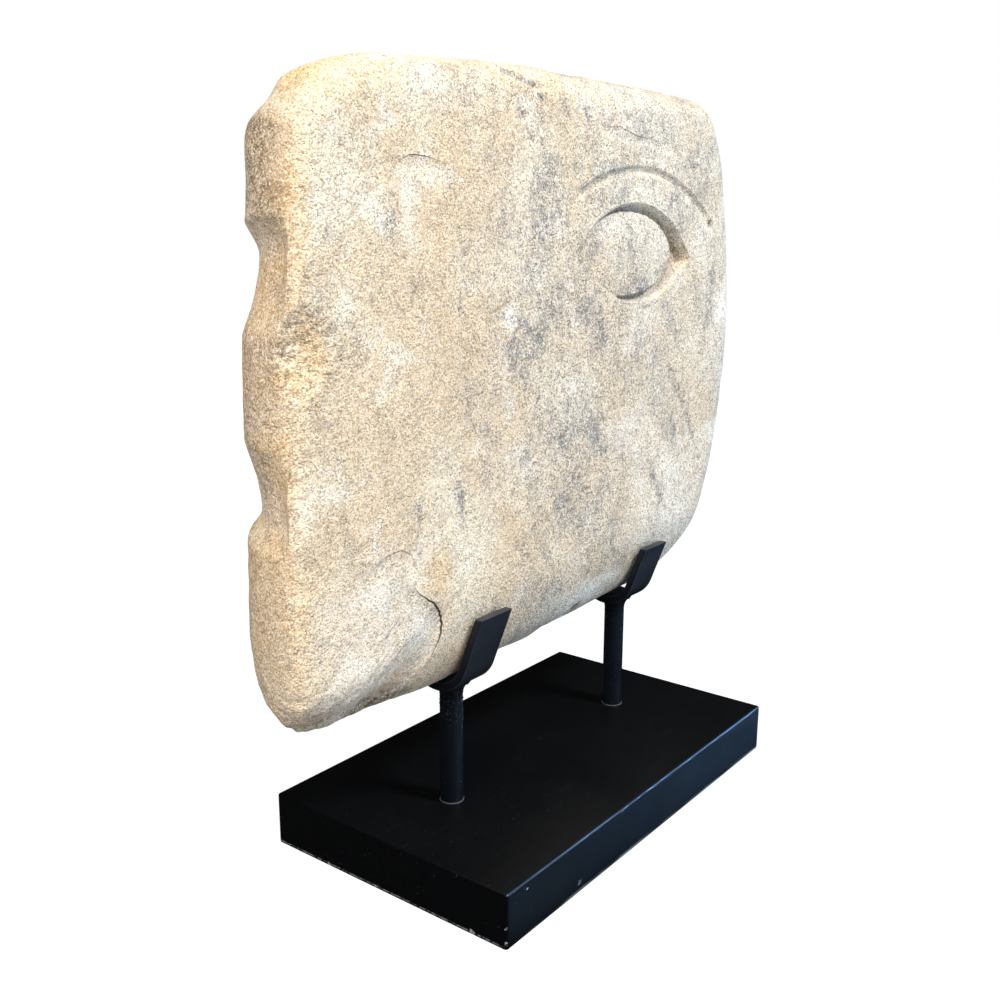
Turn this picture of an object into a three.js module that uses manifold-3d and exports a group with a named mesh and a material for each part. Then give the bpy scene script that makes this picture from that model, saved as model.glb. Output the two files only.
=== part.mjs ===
// A worn sandstone panel, carved with one large eye in low relief, on its display stand.
// Two black steel rods rise from a black lacquered base, and a bent strap welded on each rod
// cradles the stone's lower edge. The stone only rests in the two cradles.
//
// Sizes are millimetres. The origin is the middle of the base's underside. +X runs along the
// base, -Y is the carved side and +Z is up.

import * as THREE from 'three';
import { mergeVertices } from 'three/addons/utils/BufferGeometryUtils.js';
import Module from 'manifold-3d';

// Driving dimensions

const FIT_GAP = 0.3;

// Vertices closer than this are one vertex.
const MERGE_WITHIN = 1e-4;

const BASE = {
  length: 278,
  depth: 162,
  height: 30,
  cornerRadius: 2,
  cornerSteps: 3,
  leastCornerRadius: 0.4,
  topRound: 1.2,
  topRoundSteps: 2,
  footChamfer: 1,
};

const ROD = { diameter: 12.7, spacing: 166, socketDepth: 14, sides: 32 };

const STRAP = {
  width: 25.4,
  thickness: 4.5,
  bendRadius: 21,
  leanDegrees: 20.5,
  arris: 0.6,
  bendSteps: 14,
};

// The weld under a strap swells from the rod's own radius to its top radius. A flare over 1
// keeps it slim at first and spreads it late. The land is the upright rim at its top.
const WELD = { height: 10.5, topRadius: 12, biteIntoStrap: 3.6, flare: 2.4, land: 0.6, steps: 5 };

// The stone isn't quite level, so the right cradle sits higher than the left one.
const CRADLES = [
  { name: 'left', x: -ROD.spacing / 2, underside: 98.7, tip: 144.5 },
  { name: 'right', x: ROD.spacing / 2, underside: 103.2, tip: 144 },
];

const STONE = {
  frontY: -27,
  backY: 27,
  centre: [-5, 263],
  outlineSteps: 150,
};

// The stone's outline seen from the carved side, as [x, z] points that a smooth curve joins,
// from the lower left corner round by the top.
const STONE_OUTLINE = [
  [-217, 152], [-216, 206], [-214, 286], [-208, 351], [-205, 381], [-190, 398],
  [-160, 409], [-109, 414], [-40, 418], [40, 418], [100, 417.5], [148, 413],
  [172, 388], [186, 344], [195, 276], [189, 217], [176, 167], [156, 132],
  [119, 115], [62, 111], [-25, 108.5], [-105, 105], [-150, 107.5], [-193, 110.5], [-211, 125],
];

// Broken places along the edge: where each is deepest, how deep it goes, and how far it
// reaches along the outline before and after that point. A depth below 0 stands proud.
const EDGE_LOSSES = [
  { at: [-216, 214], depth: 9, before: 11, after: 34 },
  { at: [-210, 329], depth: 9, before: 34, after: 14 },
  { at: [-197, 393], depth: 3, before: 14, after: 12 },
  { at: [-4, 418], depth: 1.6, before: 30, after: 16 },
  { at: [26, 110], depth: -0.6, before: 40, after: 16 },
  { at: [-20, 108], depth: -2.4, before: 12, after: 30 },
];

// How the edge turns from the crest, the outermost line of the stone, to the two faces.
// Each depth is measured in from the outline. A power of 0.5 is an ellipse, and a higher one
// comes to a blunter point.
const EDGE_SIDES = {
  left: { crestY: -9, front: 13, frontPower: 0.5, back: 45, backPower: 0.5 },
  right: { crestY: 0, front: 34, frontPower: 0.5, back: 44, backPower: 0.5 },
  top: { crestY: -8, front: 18, frontPower: 0.5, back: 42, backPower: 0.5 },
  bottom: { crestY: -3.5, front: 60, frontPower: 0.7, back: 60, backPower: 0.7 },
};
// Where the rings of points lie, as shares of the way in from the crest to the flat.
const EDGE_STEPS = [0.03, 0.1, 0.22, 0.4, 0.65, 1];

// A shallow pecked hollow over the corner between the carved face and the left end.
const HOLLOW = {
  at: [-196, -26, 288],
  facing: [-0.45, -0.9, 0],
  radius: 42,
  depth: 3.2,
  segments: 96,
};

// The eye is set out with plain circles in the plane of the carved face, as [x, z]. Depths
// are measured in from that face. A cutter starts a little in front of the face, to break it.
const CUTTER_LEAD = 2;
const EYE = {
  upperArc: { centre: [52, 270], radius: 82 },
  lowerArc: { centre: [57, 381], radius: 84 },
  arcSteps: 30,
  wallSlope: 1.4,
  shallowDepth: 3.2,
  deepDepth: 7,
};

// The rim and the crown are depths, and the rim's arris is a narrow bevel round the dome.
const BALL = {
  centre: [46, 324],
  halfLength: 51,
  halfHeight: 24,
  steps: 48,
  rim: 2.4,
  crown: 0.9,
  arris: 0.8,
  foot: 8,
  domeRings: [0.97, 0.85, 0.6, 0.25],
};
const LID_GROOVE = {
  centre: [57, 229],
  radius: 141,
  fromDegrees: 123,
  toDegrees: 40,
  steps: 44,
  halfWidth: 2.7,
  depth: 2.4,
  taper: 0.16,
  leastShare: 0.12,
  lead: 0.5,
};

// Materials

const sandstone = new THREE.MeshStandardMaterial({ color: 0xd8c5a6, roughness: 0.95, metalness: 0 });
const blackLacquer = new THREE.MeshStandardMaterial({ color: 0x0c0e12, roughness: 0.35, metalness: 0 });
const blackSteel = new THREE.MeshStandardMaterial({ color: 0x0e1216, roughness: 0.45, metalness: 0.4 });

// Solids and meshes

const wasm = await Module();
wasm.setup();

function toSolid(geometry) {
  const bare = geometry.clone();
  bare.deleteAttribute('normal');
  bare.deleteAttribute('uv');
  const merged = mergeVertices(bare, MERGE_WITHIN);
  return new wasm.Manifold(new wasm.Mesh({
    numProp: 3,
    vertProperties: new Float32Array(merged.attributes.position.array),
    triVerts: new Uint32Array(merged.index.array),
  }));
}

function toGeometry(solid) {
  const mesh = solid.getMesh();
  const geometry = new THREE.BufferGeometry();
  geometry.setAttribute('position', new THREE.BufferAttribute(new Float32Array(mesh.vertProperties), 3));
  geometry.setIndex(new THREE.BufferAttribute(new Uint32Array(mesh.triVerts), 1));
  geometry.computeVertexNormals();
  return geometry;
}

function piece(name, geometry, material) {
  const mesh = new THREE.Mesh(geometry, material);
  mesh.name = name;
  return mesh;
}

// A closed skin over rings of points, all with the same number of points, with a fan of
// triangles over the first and the last ring.
function skin(rings) {
  const count = rings[0].length;
  const points = rings.flat();
  const faces = [];
  for (let r = 0; r + 1 < rings.length; r += 1) {
    for (let i = 0; i < count; i += 1) {
      const a = r * count + i;
      const b = r * count + ((i + 1) % count);
      faces.push(a, a + count, b, b, a + count, b + count);
    }
  }
  const middle = (ring) => ring.reduce((sum, p) => sum.add(p), new THREE.Vector3())
    .divideScalar(count);
  const first = points.push(middle(rings[0])) - 1;
  const last = points.push(middle(rings[rings.length - 1])) - 1;
  const lastRing = (rings.length - 1) * count;
  for (let i = 0; i < count; i += 1) {
    const next = (i + 1) % count;
    faces.push(first, i, next);
    faces.push(last, lastRing + next, lastRing + i);
  }
  const geometry = new THREE.BufferGeometry().setFromPoints(points);
  geometry.setIndex(faces);
  return geometry;
}

// The skin made solid. Rings that run the other way round give it inside out, so their order
// is turned.
function solidSkin(rings) {
  const solid = toSolid(skin(rings));
  return solid.volume() > 0 ? solid : toSolid(skin([...rings].reverse()));
}

// The base: a solid block with a fine round along its upper edges and a small chamfer below.

function roundedRectangle(length, depth, radius) {
  const shape = new THREE.Shape();
  const x = length / 2 - radius;
  const y = depth / 2 - radius;
  shape.absarc(x, y, radius, 0, Math.PI / 2);
  shape.absarc(-x, y, radius, Math.PI / 2, Math.PI);
  shape.absarc(-x, -y, radius, Math.PI, 1.5 * Math.PI);
  shape.absarc(x, -y, radius, 1.5 * Math.PI, 2 * Math.PI);
  return shape.getPoints(BASE.cornerSteps).slice(0, -1);
}

function baseSolid() {
  const ring = (inset, z) => {
    const radius = Math.max(BASE.cornerRadius - inset, BASE.leastCornerRadius);
    const outline = roundedRectangle(BASE.length - 2 * inset, BASE.depth - 2 * inset, radius);
    return outline.map((p) => new THREE.Vector3(p.x, p.y, z));
  };
  const topRings = Array.from({ length: BASE.topRoundSteps + 1 }, (_, i) => {
    const turn = (Math.PI / 2) * (i / BASE.topRoundSteps);
    const inset = BASE.topRound * (1 - Math.cos(turn));
    return ring(inset, BASE.height - BASE.topRound * (1 - Math.sin(turn)));
  });
  let solid = solidSkin([ring(BASE.footChamfer, 0), ring(0, BASE.footChamfer), ...topRings]);
  for (const { x } of CRADLES) {
    const radius = ROD.diameter / 2 + FIT_GAP;
    const socket = new THREE.CylinderGeometry(radius, radius, 2 * ROD.socketDepth, ROD.sides);
    socket.rotateX(Math.PI / 2);
    socket.translate(x, 0, BASE.height);
    solid = solid.subtract(toSolid(socket));
  }
  return solid;
}

// A rod stands in its socket and ends where the weld begins.

function rodGeometry({ x, underside }) {
  const foot = BASE.height - ROD.socketDepth + FIT_GAP;
  const top = underside + WELD.biteIntoStrap - WELD.height - FIT_GAP;
  const rod = new THREE.CylinderGeometry(ROD.diameter / 2, ROD.diameter / 2, top - foot, ROD.sides);
  rod.rotateX(Math.PI / 2);
  rod.translate(x, 0, (top + foot) / 2);
  return rod;
}

// A cradle: flat bar bent to a U, seen from its edge in the YZ plane, and the weld below it.

function strapOutline({ underside, tip }) {
  const lean = THREE.MathUtils.degToRad(STRAP.leanDegrees);
  const bendCentre = underside + STRAP.bendRadius;
  // The tip of an arm, cut level, on the face of the bar that bends at this radius.
  const armTip = (side, radius) => {
    const armRise = tip - bendCentre + radius * Math.sin(lean);
    return [side * (radius * Math.cos(lean) + armRise * Math.tan(lean)), tip];
  };
  const inner = STRAP.bendRadius - STRAP.thickness;
  const shape = new THREE.Shape();
  shape.moveTo(...armTip(1, inner));
  shape.lineTo(...armTip(1, STRAP.bendRadius));
  shape.absarc(0, bendCentre, STRAP.bendRadius, -lean, Math.PI + lean, true);
  shape.lineTo(...armTip(-1, STRAP.bendRadius));
  shape.lineTo(...armTip(-1, inner));
  shape.absarc(0, bendCentre, inner, Math.PI + lean, -lean, false);
  shape.closePath();
  return shape;
}

function cradleSolid(cradle) {
  const strap = new THREE.ExtrudeGeometry(strapOutline(cradle), {
    depth: STRAP.width - 2 * STRAP.arris,
    curveSegments: STRAP.bendSteps,
    bevelThickness: STRAP.arris,
    bevelSize: STRAP.arris,
    bevelOffset: -STRAP.arris,
    bevelSegments: 1,
  });
  strap.translate(0, 0, STRAP.arris - STRAP.width / 2);
  // The outline's x and y become the part's Y and Z, and its extrusion runs along X.
  strap.applyMatrix4(new THREE.Matrix4().makeBasis(
    new THREE.Vector3(0, 1, 0),
    new THREE.Vector3(0, 0, 1),
    new THREE.Vector3(1, 0, 0),
  ));
  strap.translate(cradle.x, 0, 0);

  const rodRadius = ROD.diameter / 2;
  const swell = WELD.topRadius - rodRadius;
  const profile = [new THREE.Vector2(0, 0)];
  for (let i = 0; i <= WELD.steps; i += 1) {
    const t = i / WELD.steps;
    const radius = rodRadius + swell * t ** WELD.flare;
    profile.push(new THREE.Vector2(radius, (WELD.height - WELD.land) * t));
  }
  profile.push(new THREE.Vector2(WELD.topRadius, WELD.height));
  profile.push(new THREE.Vector2(0, WELD.height));
  const weld = new THREE.LatheGeometry(profile, ROD.sides);
  weld.rotateX(Math.PI / 2);
  weld.translate(cradle.x, 0, cradle.underside + WELD.biteIntoStrap - WELD.height);
  return toSolid(strap).add(toSolid(weld));
}

// The stone

function smoothOutline() {
  const corners = STONE_OUTLINE.map(([x, z]) => new THREE.Vector3(x, 0, z));
  const curve = new THREE.CatmullRomCurve3(corners, true);
  return curve.getSpacedPoints(STONE.outlineSteps).slice(0, -1);
}

// The outward direction at each point of a closed outline, in the XZ plane.
function outwardDirections(outline) {
  const count = outline.length;
  const centre = new THREE.Vector3(STONE.centre[0], 0, STONE.centre[1]);
  return outline.map((point, i) => {
    const along = outline[(i + 1) % count].clone().sub(outline[(i + count - 1) % count]);
    const outward = new THREE.Vector3(along.z, 0, -along.x).normalize();
    return outward.dot(point.clone().sub(centre)) < 0 ? outward.negate() : outward;
  });
}

// How far each broken place pushes the outline in at every point.
function lossDepths(outline) {
  const step = outline[0].distanceTo(outline[1]);
  const count = outline.length;
  const depths = new Array(count).fill(0);
  for (const { at, depth, before, after } of EDGE_LOSSES) {
    const target = new THREE.Vector3(at[0], 0, at[1]);
    const distances = outline.map((p) => p.distanceTo(target));
    const nearest = distances.indexOf(Math.min(...distances));
    for (let i = 0; i < count; i += 1) {
      const signed = ((i - nearest + 1.5 * count) % count) - count / 2;
      const reach = signed < 0 ? before : after;
      const t = Math.min(Math.abs(signed * step) / reach, 1);
      depths[i] += depth * Math.cos((t * Math.PI) / 2);
    }
  }
  return depths;
}

// The edge's sizes at a point that faces this way: a mix of the four sides.
function edgeAt(outward) {
  const weights = {
    left: Math.max(0, -outward.x) ** 2,
    right: Math.max(0, outward.x) ** 2,
    top: Math.max(0, outward.z) ** 2,
    bottom: Math.max(0, -outward.z) ** 2,
  };
  const mix = { crestY: 0, front: 0, frontPower: 0, back: 0, backPower: 0 };
  for (const [side, weight] of Object.entries(weights)) {
    for (const key of Object.keys(mix)) {
      mix[key] += weight * EDGE_SIDES[side][key];
    }
  }
  return mix;
}

function stoneBlank() {
  const smooth = smoothOutline();
  const outward = outwardDirections(smooth);
  const depths = lossDepths(smooth);
  const outline = smooth.map((p, i) => p.clone().addScaledVector(outward[i], -depths[i]));
  const centre = new THREE.Vector3(STONE.centre[0], 0, STONE.centre[1]);
  // A ring of points this share of the way in from the crest to the flat of one face.
  const ring = (share, faceY, depthKey, powerKey) => outline.map((point, i) => {
    const edge = edgeAt(outward[i]);
    const arm = point.clone().sub(centre);
    const inset = (share * edge[depthKey]) / smooth[i].clone().sub(centre).dot(outward[i]);
    const swing = (1 - (1 - share) ** 2) ** edge[powerKey];
    const spot = centre.clone().addScaledVector(arm, 1 - inset);
    spot.y = edge.crestY + (faceY - edge.crestY) * swing;
    return spot;
  });
  return solidSkin([
    ...[...EDGE_STEPS].reverse().map((share) => ring(share, STONE.frontY, 'front', 'frontPower')),
    ring(0, STONE.frontY, 'front', 'frontPower'),
    ...EDGE_STEPS.map((share) => ring(share, STONE.backY, 'back', 'backPower')),
  ]);
}

function hollowCutter() {
  const facing = new THREE.Vector3(...HOLLOW.facing).normalize();
  const middle = new THREE.Vector3(...HOLLOW.at)
    .addScaledVector(facing, HOLLOW.radius - HOLLOW.depth);
  const ball = new THREE.SphereGeometry(HOLLOW.radius, HOLLOW.segments, HOLLOW.segments / 2);
  ball.translate(middle.x, middle.y, middle.z);
  return toSolid(ball);
}

// The two corners of the eye, where its two circles cross, left one first.
function eyeCorners() {
  const a = new THREE.Vector2(...EYE.upperArc.centre);
  const b = new THREE.Vector2(...EYE.lowerArc.centre);
  const apart = b.clone().sub(a);
  const distance = apart.length();
  const along = (distance ** 2 + EYE.upperArc.radius ** 2 - EYE.lowerArc.radius ** 2) / (2 * distance);
  const half = Math.sqrt(EYE.upperArc.radius ** 2 - along ** 2);
  apart.normalize();
  const foot = a.clone().addScaledVector(apart, along);
  const across = new THREE.Vector2(apart.y, -apart.x);
  const ends = [foot.clone().addScaledVector(across, half), foot.clone().addScaledVector(across, -half)];
  return ends.sort((p, q) => p.x - q.x);
}

// The opening between the lids as a ring of points, shrunk towards its middle by some
// millimetres. The depth at each point comes from the function given.
function openingRing(shrink, depthAt) {
  const [left, right] = eyeCorners();
  const middle = left.clone().add(right).multiplyScalar(0.5);
  const arc = ({ centre, radius }, from, to) => {
    const origin = new THREE.Vector2(...centre);
    const start = from.clone().sub(origin).angle();
    let sweep = to.clone().sub(origin).angle() - start;
    sweep -= Math.round(sweep / (2 * Math.PI)) * 2 * Math.PI;
    return Array.from({ length: EYE.arcSteps }, (_, i) => {
      const angle = start + (sweep * i) / EYE.arcSteps;
      return new THREE.Vector2(Math.cos(angle), Math.sin(angle)).multiplyScalar(radius).add(origin);
    });
  };
  const outline = [...arc(EYE.upperArc, left, right), ...arc(EYE.lowerArc, right, left)];
  return outline.map((p) => {
    const arm = p.clone().sub(middle);
    const spot = middle.clone().addScaledVector(arm, 1 - shrink / arm.length());
    return new THREE.Vector3(spot.x, STONE.frontY + depthAt(spot.x), spot.y);
  });
}

// The sunk opening is shallow at the left corner and deepest at the right one.
function openingCutter() {
  const [left, right] = eyeCorners();
  const floor = (x) => THREE.MathUtils.mapLinear(x, left.x, right.x, EYE.shallowDepth, EYE.deepDepth);
  return solidSkin([
    openingRing(0, () => -CUTTER_LEAD),
    openingRing(0, () => 0),
    openingRing(EYE.wallSlope, floor),
  ]);
}

// The eyeball is a low dome with a crisp rim, standing on the floor of the opening.
function ballSolid() {
  const ring = (scale, depth) => Array.from({ length: BALL.steps }, (_, i) => {
    const angle = (2 * Math.PI * i) / BALL.steps;
    return new THREE.Vector3(
      BALL.centre[0] + BALL.halfLength * scale * Math.cos(angle),
      STONE.frontY + depth,
      BALL.centre[1] + BALL.halfHeight * scale * Math.sin(angle),
    );
  });
  const dome = (scale) => ring(scale, BALL.crown + (BALL.rim - BALL.crown) * scale ** 3);
  return solidSkin([
    ring(1, BALL.foot),
    ring(1, BALL.rim + BALL.arris),
    ...BALL.domeRings.map(dome),
  ]);
}

// A V-shaped groove over the upper lid, along one arc, that runs out to nothing at its ends.
function lidGrooveCutter() {
  const rings = [];
  for (let i = 0; i <= LID_GROOVE.steps; i += 1) {
    const t = i / LID_GROOVE.steps;
    const angle = THREE.MathUtils.degToRad(
      THREE.MathUtils.lerp(LID_GROOVE.fromDegrees, LID_GROOVE.toDegrees, t),
    );
    const fade = Math.min(1, Math.min(t, 1 - t) / LID_GROOVE.taper + LID_GROOVE.leastShare);
    const spot = (radius, depth) => new THREE.Vector3(
      LID_GROOVE.centre[0] + radius * Math.cos(angle),
      STONE.frontY + depth,
      LID_GROOVE.centre[1] + radius * Math.sin(angle),
    );
    const half = LID_GROOVE.halfWidth * fade;
    const depth = LID_GROOVE.depth * fade;
    // The lips run on in front of the face at the same slope, so that the cut breaks it.
    const lip = half * (1 + LID_GROOVE.lead / depth);
    rings.push([
      spot(LID_GROOVE.radius + lip, -LID_GROOVE.lead),
      spot(LID_GROOVE.radius, depth),
      spot(LID_GROOVE.radius - lip, -LID_GROOVE.lead),
    ]);
  }
  return solidSkin(rings);
}

function stoneSolid() {
  return stoneBlank()
    .subtract(hollowCutter())
    .subtract(openingCutter())
    .add(ballSolid())
    .subtract(lidGrooveCutter());
}

// The whole object

const stonePanelOnStand = new THREE.Group();
stonePanelOnStand.add(piece('base_block', toGeometry(baseSolid()), blackLacquer));
for (const cradle of CRADLES) {
  stonePanelOnStand.add(piece(`${cradle.name}_rod`, rodGeometry(cradle), blackSteel));
  stonePanelOnStand.add(piece(`${cradle.name}_cradle`, toGeometry(cradleSolid(cradle)), blackSteel));
}
stonePanelOnStand.add(piece('stone_panel', toGeometry(stoneSolid()), sandstone));

export default stonePanelOnStand;
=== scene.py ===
"""A worn sandstone panel, carved with one large eye in low relief, on its display stand.

Two black steel rods rise from a black lacquered base. A flat bar bent to a U and welded on each
rod cradles the stone's lower edge.

Lengths are metres. The origin is the middle of the base's underside. +X runs along the base,
-Y is the carved side and +Z is up.
"""

import logging
import math
from dataclasses import dataclass, field
from enum import Enum
from typing import Any, Iterable, Sequence

import bpy
import numpy as np
from mathutils import Matrix, Vector


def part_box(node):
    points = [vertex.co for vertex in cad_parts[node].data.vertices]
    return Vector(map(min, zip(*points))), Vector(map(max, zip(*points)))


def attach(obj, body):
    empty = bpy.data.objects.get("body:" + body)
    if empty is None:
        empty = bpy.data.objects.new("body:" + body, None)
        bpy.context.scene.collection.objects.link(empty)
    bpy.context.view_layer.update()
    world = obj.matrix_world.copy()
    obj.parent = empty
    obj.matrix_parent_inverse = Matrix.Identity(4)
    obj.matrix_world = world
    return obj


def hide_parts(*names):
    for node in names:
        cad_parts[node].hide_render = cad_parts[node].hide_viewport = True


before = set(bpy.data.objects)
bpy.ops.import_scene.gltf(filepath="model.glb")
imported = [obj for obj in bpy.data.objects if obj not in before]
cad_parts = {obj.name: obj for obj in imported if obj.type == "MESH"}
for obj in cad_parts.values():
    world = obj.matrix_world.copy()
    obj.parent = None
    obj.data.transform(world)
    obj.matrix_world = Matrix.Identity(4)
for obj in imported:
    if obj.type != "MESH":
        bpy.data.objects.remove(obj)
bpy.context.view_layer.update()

LOG = logging.getLogger("stone_panel")
BODY = "root"
TINY = 1e-9

Pair = tuple[float, float]
Triple = tuple[float, float, float]
Colour = tuple[float, float, float, float]


def paint(red: int, green: int, blue: int) -> Colour:
    """Turns a colour as a screen shows it into the light values that a shader takes.

    Args:
        red: Red, from 0 to 255.
        green: Green, from 0 to 255.
        blue: Blue, from 0 to 255.

    Returns:
        The same colour as linear red, green, blue and full opacity.
    """
    def linear(value: int) -> float:
        """Undoes the screen's curve for one channel."""
        share = value / 255
        return share / 12.92 if share <= 0.04045 else ((share + 0.055) / 1.055) ** 2.4

    return linear(red), linear(green), linear(blue), 1.0


def soft_step(value: np.ndarray, low: float, high: float) -> np.ndarray:
    """Rises smoothly from 0 at low to 1 at high, or falls where high is the lower one.

    Args:
        value: The numbers to map.
        low: Where the result is 0.
        high: Where the result is 1.

    Returns:
        The mapped numbers.
    """
    share = np.clip((value - low) / (high - low), 0, 1)
    return share * share * (3 - 2 * share)


def partly(value: np.ndarray, share: float, low: float, high: float) -> np.ndarray:
    """Rises smoothly from 0 at low to the share at high."""
    return share * soft_step(value, low, high)


class Clouds:
    """Smooth random fields over space that are the same on every run."""

    side = 48
    shift = 7
    full = 1.5

    def __init__(self, seed: int) -> None:
        """Fills the lattice that the fields are read from.

        Args:
            seed: Picks one field out of many.
        """
        self.lattice = np.random.default_rng(seed).uniform(-1, 1, (self.side,) * 3)

    def plain(self, points: np.ndarray, size: float) -> np.ndarray:
        """One octave of the field.

        Args:
            points: Places, one row each.
            size: How far apart the humps lie.

        Returns:
            A number from -1 to 1 for each place.
        """
        scaled = points / size
        cell = np.floor(scaled).astype(int)
        part = scaled - cell
        part = part * part * (3 - 2 * part)
        total = np.zeros(len(points))
        for corner in np.ndindex(2, 2, 2):
            spot = (cell + corner) % self.side
            weight = np.prod(np.where(corner, part, 1 - part), axis=1)
            total += weight * self.lattice[spot[:, 0], spot[:, 1], spot[:, 2]]
        return total

    def layered(self, points: np.ndarray, size: float, octaves: int) -> np.ndarray:
        """Several octaves, each half the size and half the height of the one before.

        Args:
            points: Places, one row each.
            size: The size of the largest humps.
            octaves: How many layers there are.

        Returns:
            A number of about -1 to 1 for each place.
        """
        layers = [self.plain(points + self.shift * size * n, size / 2 ** n) / 2 ** n for n in range(octaves)]
        return sum(layers) / self.full


@dataclass(frozen=True)
class Unevenness:
    """A random field with a size and a height of its own."""

    seed: int
    size: float
    octaves: int
    height: float = 1.0

    def stray(self, points: np.ndarray) -> np.ndarray:
        """Reads the field: a number of about minus to plus its height for each place."""
        return self.height * Clouds(self.seed).layered(points, self.size, self.octaves)


class Side(Enum):
    """The two ends of the stand, as seen from the carved side."""

    LEFT = "left"
    RIGHT = "right"


class Signal:
    """A number that varies over a surface: one output of a node tree, with arithmetic."""

    def __init__(self, graph: "Graph", socket: bpy.types.NodeSocket) -> None:
        """Wraps an output.

        Args:
            graph: The tree that the output is in.
            socket: The output.
        """
        self.graph = graph
        self.socket = socket

    def _math(self, operation: str, *values: Any) -> "Signal":
        """Adds one Math node and returns its result."""
        made = self.graph.node("ShaderNodeMath", {"operation": operation}, dict(enumerate(values)))
        return self.graph.signal(made)

    def __add__(self, other: Any) -> "Signal":
        """Returns this number plus the other."""
        return self._math("ADD", self, other)

    def __radd__(self, other: Any) -> "Signal":
        """Returns the other number plus this one."""
        return self._math("ADD", other, self)

    def __sub__(self, other: Any) -> "Signal":
        """Returns this number less the other."""
        return self._math("SUBTRACT", self, other)

    def __rsub__(self, other: Any) -> "Signal":
        """Returns the other number less this one."""
        return self._math("SUBTRACT", other, self)

    def __mul__(self, other: Any) -> "Signal":
        """Returns this number times the other."""
        return self._math("MULTIPLY", self, other)

    def __rmul__(self, other: Any) -> "Signal":
        """Returns the other number times this one."""
        return self._math("MULTIPLY", other, self)

    def __truediv__(self, other: Any) -> "Signal":
        """Returns this number over the other."""
        return self._math("DIVIDE", self, other)

    def __pow__(self, other: Any) -> "Signal":
        """Returns this number to the power of the other."""
        return self._math("POWER", self, other)

    def __abs__(self) -> "Signal":
        """Returns this number's size."""
        return self._math("ABSOLUTE", self)

    def least(self, other: Any) -> "Signal":
        """Returns the smaller of the two numbers."""
        return self._math("MINIMUM", self, other)

    def most(self, other: Any) -> "Signal":
        """Returns the larger of the two numbers."""
        return self._math("MAXIMUM", self, other)

    def sine(self) -> "Signal":
        """Returns the sine of this angle in radians."""
        return self._math("SINE", self)

    def cosine(self) -> "Signal":
        """Returns the cosine of this angle in radians."""
        return self._math("COSINE", self)

    def sign(self) -> "Signal":
        """Returns -1, 0 or 1."""
        return self._math("SIGN", self)

    def rise(self, low: float, high: float) -> "Signal":
        """Maps this number smoothly to 0 at low and 1 at high.

        Args:
            low: Where the result is 0.
            high: Where the result is 1. It may be lower than low.

        Returns:
            The mapped number.
        """
        ordered = sorted((low, high))
        made = self.graph.node(
            "ShaderNodeMapRange",
            {"interpolation_type": "SMOOTHSTEP"},
            {"Value": self, "From Min": ordered[0], "From Max": ordered[1]},
        )
        risen = self.graph.signal(made)
        return risen if low < high else 1 - risen


class Graph:
    """A node tree that is being built."""

    def __init__(self, tree: bpy.types.NodeTree) -> None:
        """Starts with an empty tree.

        Args:
            tree: The tree to fill.
        """
        self.tree = tree
        tree.nodes.clear()

    @staticmethod
    def _pick(sockets: Any, key: int | str) -> bpy.types.NodeSocket:
        """Finds a socket by its place, its identifier or its name."""
        if isinstance(key, int):
            return sockets[key]
        for socket in sockets:
            if socket.identifier == key:
                return socket
        return sockets[key]

    def node(self, kind: str, settings: dict | None = None, values: dict | None = None) -> Any:
        """Adds a node.

        Args:
            kind: The node's type.
            settings: Its own settings. A ramp's stops are pairs of place and colour.
            values: For each input, a fixed value, a signal or an output.

        Returns:
            The new node.
        """
        made = self.tree.nodes.new(kind)
        for name, value in (settings or {}).items():
            if name == "stops":
                self._set_stops(made.color_ramp, value)
            else:
                setattr(made, name, value)
        for key, value in (values or {}).items():
            socket = self._pick(made.inputs, key)
            if isinstance(value, Signal):
                self.tree.links.new(value.socket, socket)
            elif isinstance(value, bpy.types.NodeSocket):
                self.tree.links.new(value, socket)
            else:
                socket.default_value = value
        return made

    @staticmethod
    def _set_stops(ramp: bpy.types.ColorRamp, stops: Sequence[tuple[float, Colour]]) -> None:
        """Gives a colour ramp its stops."""
        while len(ramp.elements) < len(stops):
            ramp.elements.new(1)
        for element, (place, colour) in zip(ramp.elements, stops):
            element.position = place
            element.color = colour

    def output(self, node: Any, key: int | str = 0) -> bpy.types.NodeSocket:
        """Returns an output of a node."""
        return self._pick(node.outputs, key)

    def signal(self, node: Any, key: int | str = 0) -> Signal:
        """Returns an output of a node as a number to calculate with."""
        return Signal(self, self.output(node, key))


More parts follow.
